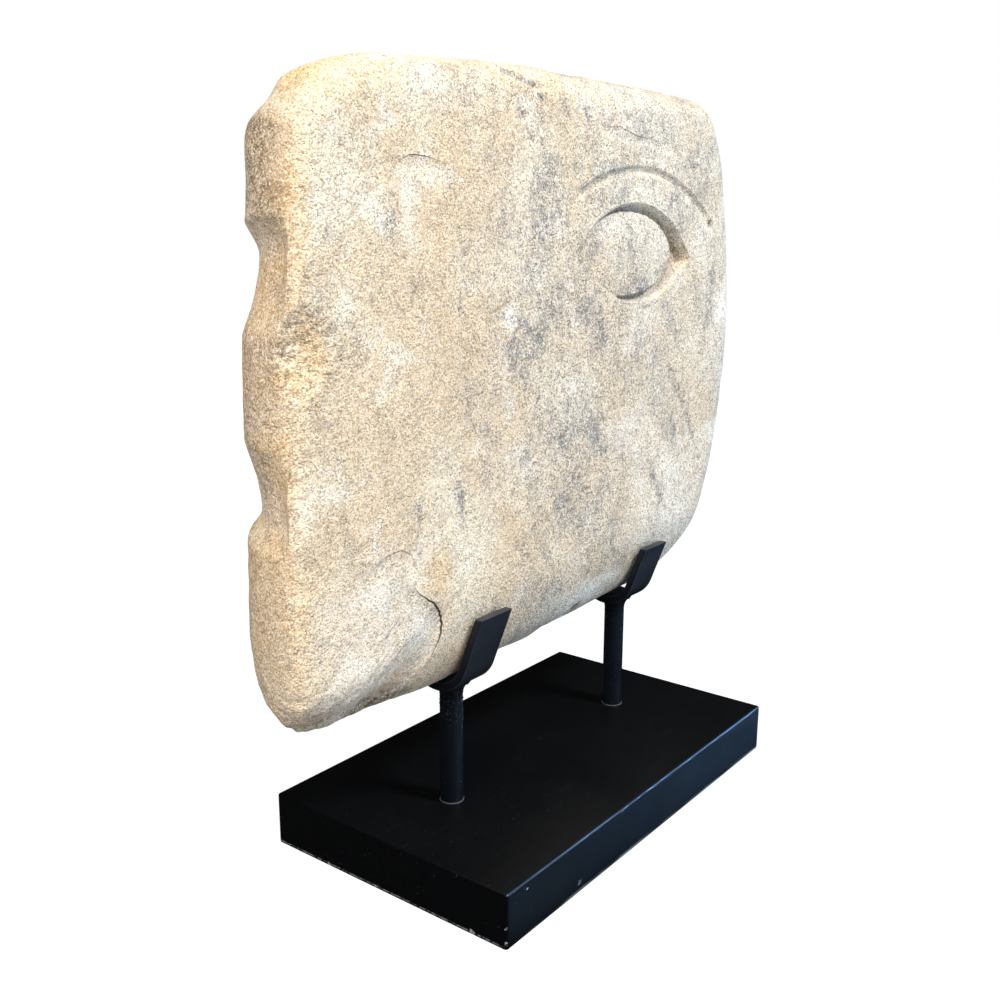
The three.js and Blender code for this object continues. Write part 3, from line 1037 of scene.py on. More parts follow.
@dataclass
class StonePanel:
    """The sandstone slab.

    Attributes:
        centre: The middle that its edges are measured from.
        front: The Y of the carved face.
        back: The Y of the back.
        corners: Points of its outline, joined by a smooth curve, clockwise from the lower left.
        losses: The broken places along its edge.
        loss_fade: How much shallower a broken place is where it reaches the carved face.
        turns: How its edge turns at the left, right, top and bottom.
        eye: The carving.
        half_grid: Half the number of cells across the carved face.
        eye_rings: How many rings of cells reach to each line of the carving.
        strip_rings: How many rings of cells turn over the edge to the front.
        back_rings: The same to the back, at full and at half the number of cells.
        rim_room: The least room that the cells leave between the ball's rim and the opening.
        free_room: How far from the opening their line runs where it doesn't follow the groove.
        carved_reach: How far behind the carved face a point may lie and still be carved.
    """

    centre: Pair = (-0.005, 0.263)
    front: float = -0.027
    back: float = 0.027
    corners: tuple[Pair, ...] = (
        (-0.217, 0.152), (-0.216, 0.206), (-0.214, 0.286), (-0.208, 0.351), (-0.205, 0.381),
        (-0.190, 0.398), (-0.160, 0.409), (-0.109, 0.414), (-0.040, 0.418), (0.040, 0.418),
        (0.100, 0.4175), (0.148, 0.413), (0.172, 0.388), (0.186, 0.344), (0.195, 0.276),
        (0.189, 0.217), (0.176, 0.167), (0.156, 0.132), (0.119, 0.115), (0.062, 0.111),
        (-0.025, 0.1085), (-0.105, 0.105), (-0.150, 0.1075), (-0.193, 0.1105), (-0.211, 0.125),
    )
    losses: tuple[EdgeLoss, ...] = (
        EdgeLoss((-0.216, 0.214), 0.009, 0.011, 0.034),
        EdgeLoss((-0.210, 0.329), 0.009, 0.034, 0.014),
        EdgeLoss((-0.197, 0.393), 0.003, 0.014, 0.012),
        EdgeLoss((-0.004, 0.418), 0.0016, 0.030, 0.016),
        EdgeLoss((0.026, 0.110), -0.0006, 0.040, 0.016),
        EdgeLoss((-0.020, 0.108), -0.0024, 0.012, 0.030),
    )
    loss_fade: float = 0.88
    turns: tuple[EdgeTurn, ...] = (
        EdgeTurn(-0.009, 0.013, 0.27, 0.045, 0.5),
        EdgeTurn(0.0, 0.034, 0.5, 0.044, 0.5),
        EdgeTurn(-0.008, 0.018, 0.5, 0.042, 0.5),
        EdgeTurn(-0.0035, 0.060, 0.7, 0.060, 0.7),
    )
    eye: CarvedEye = field(default_factory=CarvedEye)
    half_grid: int = 108
    eye_rings: tuple[int, ...] = (26, 27, 28, 32, 33, 44, 46, 48)
    strip_rings: int = 24
    back_rings: tuple[int, int] = (10, 12)
    table_size: int = 6912
    curve_steps: int = 400
    rim_room: float = 0.0016
    foot_room: float = 0.00035
    wall_room: float = 0.00015
    groove_room: Pair = (0.004, 0.014)
    groove_follow: float = 0.3
    free_room: float = 0.017
    carved_reach: float = 0.008

    def __post_init__(self) -> None:
        """Works out the outline and its edges once, at many places round it."""
        smooth = self._closed_curve()
        count = len(smooth)
        along = np.roll(smooth, -1, 0) - np.roll(smooth, 1, 0)
        outward = np.stack([-along[:, 1], along[:, 0]], 1)
        outward /= np.linalg.norm(outward, axis=1)[:, None]
        from_centre = smooth - np.array(self.centre)
        if np.mean(np.sum(outward * from_centre, 1)) < 0:
            outward = -outward
        facing = np.stack([
            np.maximum(0, -outward[:, 0]), np.maximum(0, outward[:, 0]),
            np.maximum(0, outward[:, 1]), np.maximum(0, -outward[:, 1]),
        ], 1) ** 2
        sizes = np.array([[t.crest, t.front, t.front_power, t.back, t.back_power] for t in self.turns])
        loss = -outward * self._loss_depths(smooth, count)[:, None]
        span = np.sum(from_centre * outward, 1)
        self._table = np.column_stack([smooth, loss, facing @ sizes, span])

    def _closed_curve(self) -> np.ndarray:
        """Joins the corners with a smooth closed curve, at even steps along it."""
        points = np.array(self.corners)
        dense = []
        steps = np.linspace(0, 1, self.curve_steps, endpoint=False)[:, None]
        for i in range(len(points)):
            a, b, c, d = (points[(i + j - 1) % len(points)] for j in range(4))
            first, middle, last = (math.sqrt(np.linalg.norm(q - p)) for p, q in ((a, b), (b, c), (c, d)))
            start = ((b - a) / first - (c - a) / (first + middle) + (c - b) / middle) * middle
            end = ((c - b) / middle - (d - b) / (middle + last) + (d - c) / last) * middle
            square = -3 * b + 3 * c - 2 * start - end
            cube = 2 * b - 2 * c + start + end
            dense.append(b + start * steps + square * steps ** 2 + cube * steps ** 3)
        dense = np.concatenate([*dense, points[:1]])
        run = np.concatenate([[0], np.cumsum(np.linalg.norm(np.diff(dense, axis=0), axis=1))])
        even = np.linspace(0, run[-1], self.table_size, endpoint=False)
        return np.stack([np.interp(even, run, dense[:, axis]) for axis in (0, 1)], 1)

    def _loss_depths(self, smooth: np.ndarray, count: int) -> np.ndarray:
        """Works out how far the broken places push the outline in."""
        step = np.linalg.norm(smooth[1] - smooth[0])
        depths = np.zeros(count)
        for loss in self.losses:
            nearest = int(np.argmin(np.linalg.norm(smooth - np.array(loss.at), axis=1)))
            signed = (np.arange(count) - nearest + 1.5 * count) % count - count / 2
            reach = np.where(signed < 0, loss.before, loss.after)
            share = np.minimum(np.abs(signed * step) / reach, 1)
            depths += loss.depth * np.cos(share * math.pi / 2)
        return depths

    def _round(self, count: int) -> np.ndarray:
        """Reads the table at a number of even places round the outline."""
        places = np.arange(count) * len(self._table) / count
        low = np.floor(places).astype(int)
        part = (places - low)[:, None]
        return self._table[low] * (1 - part) + self._table[(low + 1) % len(self._table)] * part

    def _edge_ring(self, count: int, turn: float, side: int) -> np.ndarray:
        """Makes one ring of the turned edge.

        Args:
            count: How many points the ring has.
            turn: The angle from the crest, at 0, to the face, at a quarter turn.
            side: -1 towards the carved face and 1 towards the back.

        Returns:
            The ring's points.
        """
        rim_x, rim_z, loss_x, loss_z, crest, front, front_power, back, back_power, span = self._round(count).T
        depth, power, face = (front, front_power, self.front) if side < 0 else (back, back_power, self.back)
        shrink = 1 - (1 - math.cos(turn)) * depth / span
        kept = 1 - self.loss_fade * min(1, 2 * math.sin(turn)) if side < 0 else 1
        x = self.centre[0] + (rim_x + kept * loss_x - self.centre[0]) * shrink
        z = self.centre[1] + (rim_z + kept * loss_z - self.centre[1]) * shrink
        swing = math.sin(turn) ** (2 * power)
        return np.column_stack([x, crest + (face - crest) * swing, z])

    def _front_ring(self, ring: int) -> np.ndarray:
        """Makes one ring of the carved face, laid along the lines of the carving."""
        flat = self._edge_ring(8 * ring, math.pi / 2, -1)[:, [0, 2]]
        middle = np.array(self.eye.ball)
        arm = flat - middle
        reach = np.linalg.norm(arm, axis=1)
        way = arm / reach[:, None]
        opening = self.eye.opening(way)
        rim = np.minimum(self.eye.ball_edge(way), opening - self.rim_room)
        foot = rim + self.foot_room
        wall_foot = np.maximum(foot + self.wall_room, opening - self.eye.wall)
        groove = self.eye.groove.exit(middle, way)
        inside = soft_step(reach - groove, *self.groove_room)
        upward = self.eye.groove_share(middle + way * groove[:, None])
        hold = inside * soft_step(upward, 0, self.groove_follow)
        free = np.minimum(opening + self.free_room, (opening + reach) / 2)
        line = hold * groove + (1 - hold) * free
        half = self.eye.groove_half
        radii = [rim * 0, rim * self.eye.arris_start, rim, foot, wall_foot, opening,
                 line - half, line, line + half, reach]
        keys = [0, *self.eye_rings, self.half_grid]
        index = int(np.searchsorted(keys, ring)) - 1
        share = (ring - keys[index]) / (keys[index + 1] - keys[index])
        radius = radii[index] * (1 - share) + radii[index + 1] * share
        spot = middle + way * radius[:, None]
        return np.column_stack([spot[:, 0], np.full(len(spot), self.front), spot[:, 1]])

    def _back_ring(self, ring: int, rings: int) -> np.ndarray:
        """Makes one ring of the back, an even share of the way to its middle."""
        edge = self._edge_ring(8 * ring, math.pi / 2, 1)
        middle = np.array([self.centre[0], self.back, self.centre[1]])
        return middle + (edge - middle) * ring / rings

    @staticmethod
    def _square(half: int, first: int) -> np.ndarray:
        """Numbers the vertices of a square grid by rings round its middle.

        Args:
            half: Half the number of cells across.
            first: The number of the middle vertex.

        Returns:
            The vertex numbers, by column and then by row.
        """
        u, v = np.meshgrid(np.arange(-half, half + 1), np.arange(-half, half + 1), indexing="ij")
        ring = np.maximum(np.abs(u), np.abs(v))
        place = np.select(
            [u == -ring, v == ring, u == ring],
            [v + ring, 2 * ring + u + ring, 4 * ring + ring - v],
            6 * ring + ring - u,
        )
        start = first + 1 + 4 * ring * (ring - 1)
        return np.where(ring == 0, first, start + place % np.maximum(8 * ring, 1))

    def _lay_out(self) -> tuple[np.ndarray, list[list[int]]]:
        """Lays rings of points over the stone from the middle of one face to the other's.

        Returns:
            The points, and the vertices of each face.
        """
        fine = 8 * self.half_grid
        coarse = fine // 2
        rings = [np.array([[self.eye.ball[0], self.front, self.eye.ball[1]]])]
        rings += [self._front_ring(n) for n in range(1, self.half_grid + 1)]
        quarter = math.pi / 2
        rings += [self._edge_ring(fine, quarter * (1 - n / self.strip_rings), -1)
                  for n in range(1, self.strip_rings + 1)]
        full, halved = self.back_rings
        rings += [self._edge_ring(fine, quarter * n / (full + halved), 1) for n in range(1, full + 1)]
        rings += [self._edge_ring(coarse, quarter * n / (full + halved), 1)
                  for n in range(full + 1, full + halved + 1)]
        starts = np.cumsum([0] + [len(r) for r in rings])
        first_strip = self.half_grid
        last_fine = first_strip + self.strip_rings + full
        grid = self._square(self.half_grid, 0)
        faces = np.stack([grid[:-1, :-1], grid[1:, :-1], grid[1:, 1:], grid[:-1, 1:]], -1)
        faces = faces.reshape(-1, 4).tolist()
        for n in range(first_strip, len(rings) - 1):
            near, far = starts[n], starts[n + 1]
            count = len(rings[n + 1])
            i = np.arange(count)
            j = (i + 1) % count
            if n == last_fine:
                mid = near + 2 * i + 1
                after = near + (2 * i + 2) % (2 * count)
                faces += np.stack([near + 2 * i, mid, far + i], 1).tolist()
                faces += np.stack([mid, far + j, far + i], 1).tolist()
                faces += np.stack([mid, after, far + j], 1).tolist()
            else:
                faces += np.stack([near + i, near + j, far + j, far + i], 1).tolist()
        half = coarse // 8
        inner = [np.array([[self.centre[0], self.back, self.centre[1]]])]
        inner += [self._back_ring(n, half) for n in range(1, half)]
        base = int(starts[-1])
        grid = self._square(half, base)
        outer_start = base + 1 + 4 * half * (half - 1)
        grid = np.where(grid >= outer_start, grid - outer_start + starts[-2], grid)
        back = np.stack([grid[:-1, :-1], grid[:-1, 1:], grid[1:, 1:], grid[1:, :-1]], -1)
        faces += back.reshape(-1, 4).tolist()
        return np.concatenate(rings + inner), faces

    def build(self, material: bpy.types.Material) -> None:
        """Makes the stone and puts it in its place.

        Args:
            material: Its finish.
        """
        points, faces = self._lay_out()
        wear = StoneWear(self)
        lines = wear.crack(points)
        on_face = points[:, 1] < self.front + self.carved_reach
        carving = np.zeros(len(points))
        carving[on_face] = self.eye.depth(points[on_face][:, [0, 2]])
        points[:, 1] += carving + lines["sink"]
        mesh = mesh_from("stone_panel_carved", points, faces)
        normals = vectors_of(mesh.vertices, "normal")
        wear.erode(points, normals, carving)
        mesh.vertices.foreach_set("co", points.ravel())
        mesh.update()
        for kind, values in wear.marks(points, normals, carving, lines["ground"]).items():
            carry(mesh, kind, values)
        # The darkness of each crack's line is painted shadow.
        carry(mesh, "crack_shadow", lines["dark"])
        carry(mesh, "crack_side", lines["side"])
        carry(mesh, "pecked", wear.pecking(points))
        carry(mesh, "scarred", wear.scarring(points)[0])
        piece = add_object("sandstone_panel", mesh)
        settle(piece, "stone_panel", material)


class StoneWear:
    """What breakage, wear and weather have done to the stone's surface, and where shade and light are painted
    on it.
    """

    hollow_at = (-0.196, -0.026, 0.288)
    hollow_facing = (-0.45, -0.9, 0.0)
    hollow_radius = 0.042
    hollow_depth = 0.0032
    hollow_rough = Unevenness(13, 0.007, 2, 0.0009)

    mark_border = Unevenness(14, 0.016, 3)
    scar_border = Unevenness(14, 0.006, 2)
    dent_border = Unevenness(14, 0.012, 3)
    swell = Unevenness(11, 0.045, 3, 0.00045)
    rough = Unevenness(12, 0.008, 3, 0.00016)
    peck = Unevenness(13, 0.0055, 2, 0.0010)
    carved_smooth = (0.6, 0.001)
    crack_reach = (0.012, 0.016)

    pits = 420
    pit_seed = 21
    pit_reach = (0.0014, 0.0042)
    pit_length = (0.6, 1.8)
    pit_through = 3
    pit_depth = 0.22

    rough_end = (0.35, -0.186, -0.206)
    rough_hollow = (1.0, 0.026, 0.012)
    rough_foot = 0.9
    foot_rise = (0.148, 0.122)
    foot_run = (-0.10, -0.16)

    grey_least = 0.12
    grey_right = (0.40, -0.10, 0.02)
    ochre_left = (0.25, -0.185, -0.205)
    # Painted shade on faces that turn towards the left end: where it starts and is full, and how far its
    # border wanders.
    end_shade_facing = (0.55, 0.75)
    end_shade_wander = 0.12
    fresh_ground = 0.35
    # Painted shade in the carving, growing with its depth.
    recess_shade = (0.30, 0.0020, 0.0045)

    cracks = (
        Crack(((-0.1475, 0.3630), (-0.1460, 0.3662), (-0.1410, 0.3682), (-0.1345, 0.3690),
               (-0.1270, 0.3685), (-0.1195, 0.3670), (-0.1150, 0.3650)), 0.0006, 0.016, 0.42),
        Crack(((-0.1690, 0.1895), (-0.1600, 0.1925), (-0.1500, 0.1930), (-0.1420, 0.1905),
               (-0.1400, 0.1820), (-0.1412, 0.1735)), 0.0008, 0.017, 0.30),
        Crack(((-0.1420, 0.1740), (-0.1400, 0.1710), (-0.1337, 0.1662), (-0.1258, 0.1612),
               (-0.1205, 0.1540), (-0.1188, 0.1470), (-0.1195, 0.1380), (-0.1230, 0.1310),
               (-0.1275, 0.1260)), 0.0016, 0.022, 0.95),
        Crack(((0.0040, 0.3935), (0.0200, 0.3915), (0.0330, 0.3925), (0.0480, 0.3885),
               (0.0660, 0.3880), (0.0860, 0.3835)), 0.0002, 0.008, 0.35),
    )
    dents = (
        Dent((-0.16, -0.014, 0.117), (0.026, 0.016, 0.008), 0.0024),
        Dent((0.02, -0.012, 0.1145), (0.007, 0.01, 0.006), 0.0022),
        Dent((-0.206, -0.012, 0.371), (0.007, 0.01, 0.013), 0.0012),
        Dent((-0.209, -0.02, 0.234), (0.007, 0.009, 0.007), 0.0012),
        Dent((-0.206, -0.022, 0.196), (0.01, 0.01, 0.017), 0.0014),
        Dent((-0.188, -0.01, 0.399), (0.012, 0.012, 0.007), 0.0013),
        Dent((-0.0545, -0.027, 0.391), (0.0035, 0.006, 0.003), 0.0009),
        Dent((-0.04, -0.026, 0.401), (0.004, 0.006, 0.0022), 0.001),
        Dent((-0.044, -0.025, 0.4065), (0.0075, 0.008, 0.0024), 0.0011),
        Dent((0.002, -0.027, 0.392), (0.0022, 0.006, 0.0065), 0.0009),
        Dent((0.11, -0.027, 0.372), (0.018, 0.01, 0.01), 0.0008),
    )
    coloured = {
        Patch.STAINED: (
            Mark((-0.196, -0.024, 0.294), (0.016, 0.02, 0.02), 0.55),
            Mark((-0.207, -0.02, 0.277), (0.008, 0.012, 0.012), 0.7),
            Mark((-0.202, -0.022, 0.355), (0.009, 0.014, 0.038), 0.75),
            Mark((-0.168, -0.007, 0.404), (0.034, 0.014, 0.006), 0.9, -17),
            Mark((-0.19, -0.014, 0.394), (0.012, 0.014, 0.009), 0.55),
            Mark((-0.213, -0.014, 0.232), (0.01, 0.02, 0.06), 0.5),
            Mark((-0.207, -0.016, 0.165), (0.01, 0.018, 0.04), 0.7),
            Mark((0.108, -0.022, 0.309), (0.018, 0.012, 0.009), 0.58, -35),
            Mark((0.088, -0.022, 0.302), (0.02, 0.012, 0.005), 0.42, -18),
            Mark((-0.126, -0.026, 0.176), (0.013, 0.014, 0.017), 0.75),
            Mark((-0.116, -0.024, 0.149), (0.006, 0.014, 0.02), 0.6),
            Mark((-0.15, -0.018, 0.125), (0.034, 0.018, 0.01), 0.45),
            Mark((-0.01, -0.027, 0.372), (0.02, 0.01, 0.03), 0.35),
            Mark((-0.004, -0.027, 0.296), (0.007, 0.01, 0.01), 0.55),
            Mark((0.06, -0.027, 0.25), (0.05, 0.012, 0.05), 0.12),
            Mark((-0.06, -0.027, 0.215), (0.03, 0.012, 0.05), 0.22),
            Mark((0.01, -0.025, 0.15), (0.05, 0.014, 0.022), 0.2),
            Mark((-0.085, -0.027, 0.385), (0.024, 0.012, 0.016), 0.22),
            Mark((-0.095, -0.027, 0.33), (0.03, 0.012, 0.08), 0.14),
            Mark((-0.1, -0.02, 0.405), (0.09, 0.02, 0.014), 0.28),
        ),
        # Painted shade: in the dents under the lower edge, in the eye's inner corner, along the hollow's
        # upper rim and over the left end.
        Patch.PAINTED_SHADE: (
            Mark((-0.196, -0.024, 0.3035), (0.01, 0.012, 0.0035), 0.26),
            Mark((-0.2095, -0.019, 0.2915), (0.0045, 0.01, 0.0045), 0.6),
            Mark((-0.205, 0.0, 0.365), (0.012, 0.02, 0.04), 0.7),
            Mark((-0.214, 0.004, 0.262), (0.012, 0.022, 0.06), 0.48),
            Mark((-0.206, 0.004, 0.33), (0.014, 0.02, 0.02), 0.35),
            Mark((-0.215, 0.002, 0.17), (0.012, 0.022, 0.05), 0.22),
            Mark((-0.152, -0.01, 0.1125), (0.024, 0.012, 0.006), 1.0),
            Mark((-0.196, -0.012, 0.12), (0.02, 0.02, 0.01), 0.45),
            Mark((0.02, -0.011, 0.114), (0.007, 0.008, 0.005), 0.8),
            Mark((0.107, -0.02, 0.327), (0.009, 0.01, 0.007), 0.75, 40),
            Mark((-0.206, -0.02, 0.196), (0.006, 0.01, 0.012), 0.25),
        ),
        # Some of these paint light: along the lower edge at the right, on the right end and just under the
        # crack at the upper left; the rest are paler stone.
        Patch.BLEACHED_AND_LIT: (
            Mark((-0.168, -0.022, 0.152), (0.046, 0.022, 0.044), 0.7),
            Mark((-0.14, -0.027, 0.345), (0.005, 0.012, 0.022), 0.85),
            Mark((-0.128, -0.027, 0.361), (0.016, 0.012, 0.005), 0.75),
            Mark((-0.0675, -0.027, 0.294), (0.009, 0.012, 0.007), 0.7),
            Mark((-0.067, -0.027, 0.248), (0.005, 0.012, 0.012), 0.6),
            Mark((0.05, -0.025, 0.399), (0.08, 0.014, 0.018), 0.3),
            Mark((-0.14, -0.024, 0.398), (0.045, 0.014, 0.012), 0.1),
            Mark((-0.137, -0.024, 0.147), (0.02, 0.016, 0.022), 0.55),
            Mark((0.17, -0.01, 0.29), (0.024, 0.024, 0.11), 1.0),
            Mark((0.06, -0.027, 0.22), (0.03, 0.012, 0.04), 0.45),
            Mark((0.15, -0.012, 0.18), (0.03, 0.02, 0.05), 0.8),
            Mark((0.06, -0.014, 0.12), (0.11, 0.02, 0.02), 1.0),
            Mark((0.03, -0.024, 0.34), (0.03, 0.012, 0.01), 0.4),
            Mark((0.104, -0.022, 0.308), (0.018, 0.012, 0.012), 0.5, -30),
            Mark((0.1, -0.022, 0.17), (0.06, 0.02, 0.045), 0.6),
        ),
        Patch.WEATHERED: (
            Mark((-0.06, -0.022, 0.404), (0.12, 0.02, 0.014), 0.45),
            Mark((-0.01, -0.027, 0.26), (0.085, 0.014, 0.13), 0.72),
            Mark((-0.206, -0.011, 0.371), (0.005, 0.01, 0.012), 1.0),
            Mark((-0.04, -0.027, 0.345), (0.022, 0.012, 0.07), 0.7),
            Mark((-0.034, -0.027, 0.25), (0.018, 0.012, 0.06), 0.6),
            Mark((-0.054, -0.024, 0.4), (0.03, 0.014, 0.016), 0.6),
            Mark((0.0, -0.027, 0.33), (0.016, 0.012, 0.034), 0.55),
            Mark((0.095, -0.027, 0.35), (0.028, 0.012, 0.018), 0.45, 30),
            Mark((0.064, -0.023, 0.307), (0.016, 0.012, 0.008), 0.75),
            Mark((0.14, -0.02, 0.3), (0.03, 0.02, 0.06), 0.4),
            Mark((0.12, -0.024, 0.2), (0.05, 0.02, 0.04), 0.45),
            Mark((0.04, -0.027, 0.19), (0.04, 0.012, 0.03), 0.3),
            Mark((-0.153, -0.027, 0.34), (0.01, 0.012, 0.012), 0.5),
            Mark((-0.137, -0.027, 0.21), (0.006, 0.012, 0.009), 0.8),
            Mark((-0.106, -0.027, 0.21), (0.005, 0.012, 0.007), 0.8),
            Mark((-0.16, -0.027, 0.176), (0.016, 0.012, 0.014), 0.4),
            Mark((-0.14, -0.024, 0.15), (0.014, 0.014, 0.014), 0.35),
            Mark((-0.072, -0.027, 0.29), (0.05, 0.012, 0.12), 0.4),
        ),
    }

    scars = (
        Scar((-0.067, 0.412), (-0.045, 0.406), 0.0022, 0.0009, 1.0),
        Scar((-0.044, 0.402), (-0.036, 0.398), 0.0014, 0.0008, 0.9),
        Scar((-0.07, 0.401), (-0.067, 0.396), 0.0012, 0.0005, 0.7),
        Scar((-0.059, 0.394), (-0.053, 0.388), 0.0013, 0.0006, 0.8),
        Scar((-0.054, 0.387), (-0.049, 0.381), 0.0025, 0.0004, 0.7),
        Scar((-0.044, 0.386), (-0.041, 0.38), 0.0014, 0.0004, 0.8),
        Scar((-0.041, 0.379), (-0.037, 0.373), 0.0012, 0.0004, 0.7),
        Scar((-0.003, 0.398), (0.004, 0.391), 0.002, 0.0003, 0.8),
        Scar((0.002, 0.395), (0.006, 0.388), 0.0016, 0.0003, 0.6),
        Scar((0.012, 0.393), (0.036, 0.386), 0.0018, 0.0003, 0.5),
        Scar((0.038, 0.386), (0.07, 0.386), 0.002, 0.0003, 0.5),
        Scar((-0.047, 0.358), (-0.045, 0.344), 0.0012, 0.0004, 0.6),
        Scar((-0.046, 0.34), (-0.034, 0.336), 0.003, 0.0003, 0.7),
        Scar((-0.107, 0.301), (-0.102, 0.297), 0.0026, 0.0004, 0.9),
        Scar((-0.081, 0.298), (-0.066, 0.294), 0.004, 0.0002, 0.5),
        Scar((-0.058, 0.292), (-0.042, 0.282), 0.0042, 0.0003, 0.8),
        Scar((-0.043, 0.305), (-0.041, 0.298), 0.0026, 0.0003, 0.8),
        Scar((-0.015, 0.292), (-0.012, 0.282), 0.0034, 0.0003, 0.8),
        Scar((0.015, 0.296), (0.021, 0.278), 0.0044, 0.0003, 0.7),
        Scar((-0.068, 0.275), (-0.066, 0.269), 0.0028, 0.0003, 0.8),
        Scar((-0.058, 0.267), (-0.055, 0.258), 0.0032, 0.0002, 0.6),
        Scar((-0.028, 0.269), (-0.022, 0.26), 0.0026, 0.0003, 0.6),
        Scar((-0.014, 0.249), (-0.013, 0.236), 0.0028, 0.0003, 0.6),
        Scar((0.014, 0.221), (0.024, 0.213), 0.0044, 0.0003, 0.8),
        Scar((-0.02, 0.226), (-0.013, 0.214), 0.004, 0.0002, 0.6),
        Scar((-0.006, 0.204), (0.008, 0.19), 0.0046, 0.0003, 0.7),
        Scar((-0.108, 0.216), (-0.103, 0.202), 0.0036, 0.0004, 0.8),
        Scar((-0.048, 0.222), (-0.039, 0.207), 0.0026, 0.0002, 0.5),
        Scar((0.096, 0.255), (0.118, 0.229), 0.0044, 0.0004, 0.6),
        Scar((0.12, 0.224), (0.134, 0.203), 0.0034, 0.0003, 0.7),
        Scar((0.1, 0.234), (0.108, 0.21), 0.0026, 0.0003, 0.6),
        Scar((0.08, 0.19), (0.092, 0.172), 0.0048, 0.0003, 0.7),
        Scar((0.068, 0.257), (0.088, 0.259), 0.0018, 0.0003, 0.6),
        Scar((0.015, 0.168), (0.019, 0.161), 0.0026, 0.0003, 0.8),
        Scar((-0.058, 0.174), (-0.049, 0.167), 0.0036, 0.0003, 0.6),
        Scar((-0.036, 0.167), (-0.03, 0.161), 0.0032, 0.0003, 0.7),
        Scar((0.034, 0.158), (0.043, 0.146), 0.0032, 0.0003, 0.7),
        Scar((-0.136, 0.215), (-0.136, 0.205), 0.0034, 0.0003, 0.7),
        Scar((-0.137, 0.196), (-0.136, 0.188), 0.003, 0.0003, 0.5),
    )

    def __init__(self, stone: StonePanel) -> None:
        """Remembers the stone.

        Args:
            stone: The stone.
        """
        self.stone = stone

    def crack(self, points: np.ndarray) -> dict[str, np.ndarray]:
        """Lays the cracks and steps into the carved face.

        Args:
            points: The stone's points.

        Returns:
            For each point, how far it sinks, how dark the painted shadow line is there, how many
            millimetres it lies to the line's right, and how much of the lower ground it has.
        """
        facing = np.flatnonzero(points[:, 1] < self.stone.front + self.crack_reach[0])
        spot = points[facing][:, [0, 2]]
        values = {name: np.zeros(len(points)) for name in ("sink", "dark", "side", "ground")}
        for line in self.cracks:
            part = line.lay(spot)
            for name in ("sink", "ground"):
                values[name][facing] = np.maximum(values[name][facing], part[name])
            stronger = part["dark"] > values["dark"][facing]
            for name in ("dark", "side"):
                values[name][facing[stronger]] = part[name][stronger]
        return values

    def _pits(self, points: np.ndarray) -> np.ndarray:
        """Works out the depth of small scattered pits."""
        random = np.random.default_rng(self.pit_seed)
        low, high = points.min(0), points.max(0)
        depth = np.zeros(len(points))
        for _ in range(self.pits):
            at = random.uniform(low, high)
            at[1] = random.choice([low[1], high[1]])
            reach = random.uniform(*self.pit_reach)
            stretch = np.array([1, self.pit_through, random.uniform(*self.pit_length)])
            near = np.flatnonzero(np.abs(points[:, 0] - at[0]) < reach)
            out = np.linalg.norm((points[near] - at) / (reach * stretch), axis=1)
            depth[near] = np.maximum(depth[near], reach * self.pit_depth * soft_step(out, 1, 0))
        return depth

    def scarring(self, points: np.ndarray) -> tuple[np.ndarray, np.ndarray]:
        """Works out how dark and how deep the scars are at each point."""
        facing = np.flatnonzero(points[:, 1] < self.stone.front + self.crack_reach[1])
        spot = points[facing][:, [0, 2]]
        wander = self.scar_border.stray(points[facing])
        dark = np.zeros(len(points))
        depth = np.zeros(len(points))
        for scar in self.scars:
            share = scar.share(spot, wander)
            dark[facing] = np.maximum(dark[facing], scar.strength * share)
            depth[facing] = np.maximum(depth[facing], scar.depth * share)
        return dark, depth

    def pecking(self, points: np.ndarray) -> np.ndarray:
        """Says how strongly a place is roughened, from 0 to 1."""
        from_hollow = np.linalg.norm(points - np.array(self.hollow_at), axis=1)
        rough = partly(points[:, 0], *self.rough_end) + partly(from_hollow, *self.rough_hollow)
        foot = soft_step(points[:, 2], *self.foot_rise) * soft_step(points[:, 0], *self.foot_run)
        return np.clip(rough + self.rough_foot * foot, 0, 1)

    def erode(self, points: np.ndarray, normals: np.ndarray, carving: np.ndarray) -> None:
        """Pushes the points in by the depth of the wear at each.

        Args:
            points: The stone's points, which are changed.
            normals: The direction that each faces.
            carving: The depth of the carving at each.
        """
        wander = self.dent_border.stray(points)
        smoothed, carved_depth = self.carved_smooth
        smooth = 1 - smoothed * soft_step(carving, 0, carved_depth)
        layers = (self.swell, self.rough, self.peck)
        swell, rough, peck = (layer.height + layer.stray(points) for layer in layers)
        depth = swell + rough * smooth + peck * self.pecking(points)
        depth += self._pits(points) * smooth
        depth += self.scarring(points)[1] * smooth
        for dent in self.dents:
            depth += dent.sink(points, wander)
        points -= normals * depth[:, None]
        facing = np.array(self.hollow_facing) / np.linalg.norm(self.hollow_facing)
        middle = np.array(self.hollow_at) + facing * (self.hollow_radius - self.hollow_depth)
        arm = points - middle
        reach = np.linalg.norm(arm, axis=1)
        radius = self.hollow_radius + self.hollow_rough.stray(points)
        inside = reach < radius
        points[inside] = (middle + arm / reach[:, None] * radius[:, None])[inside]

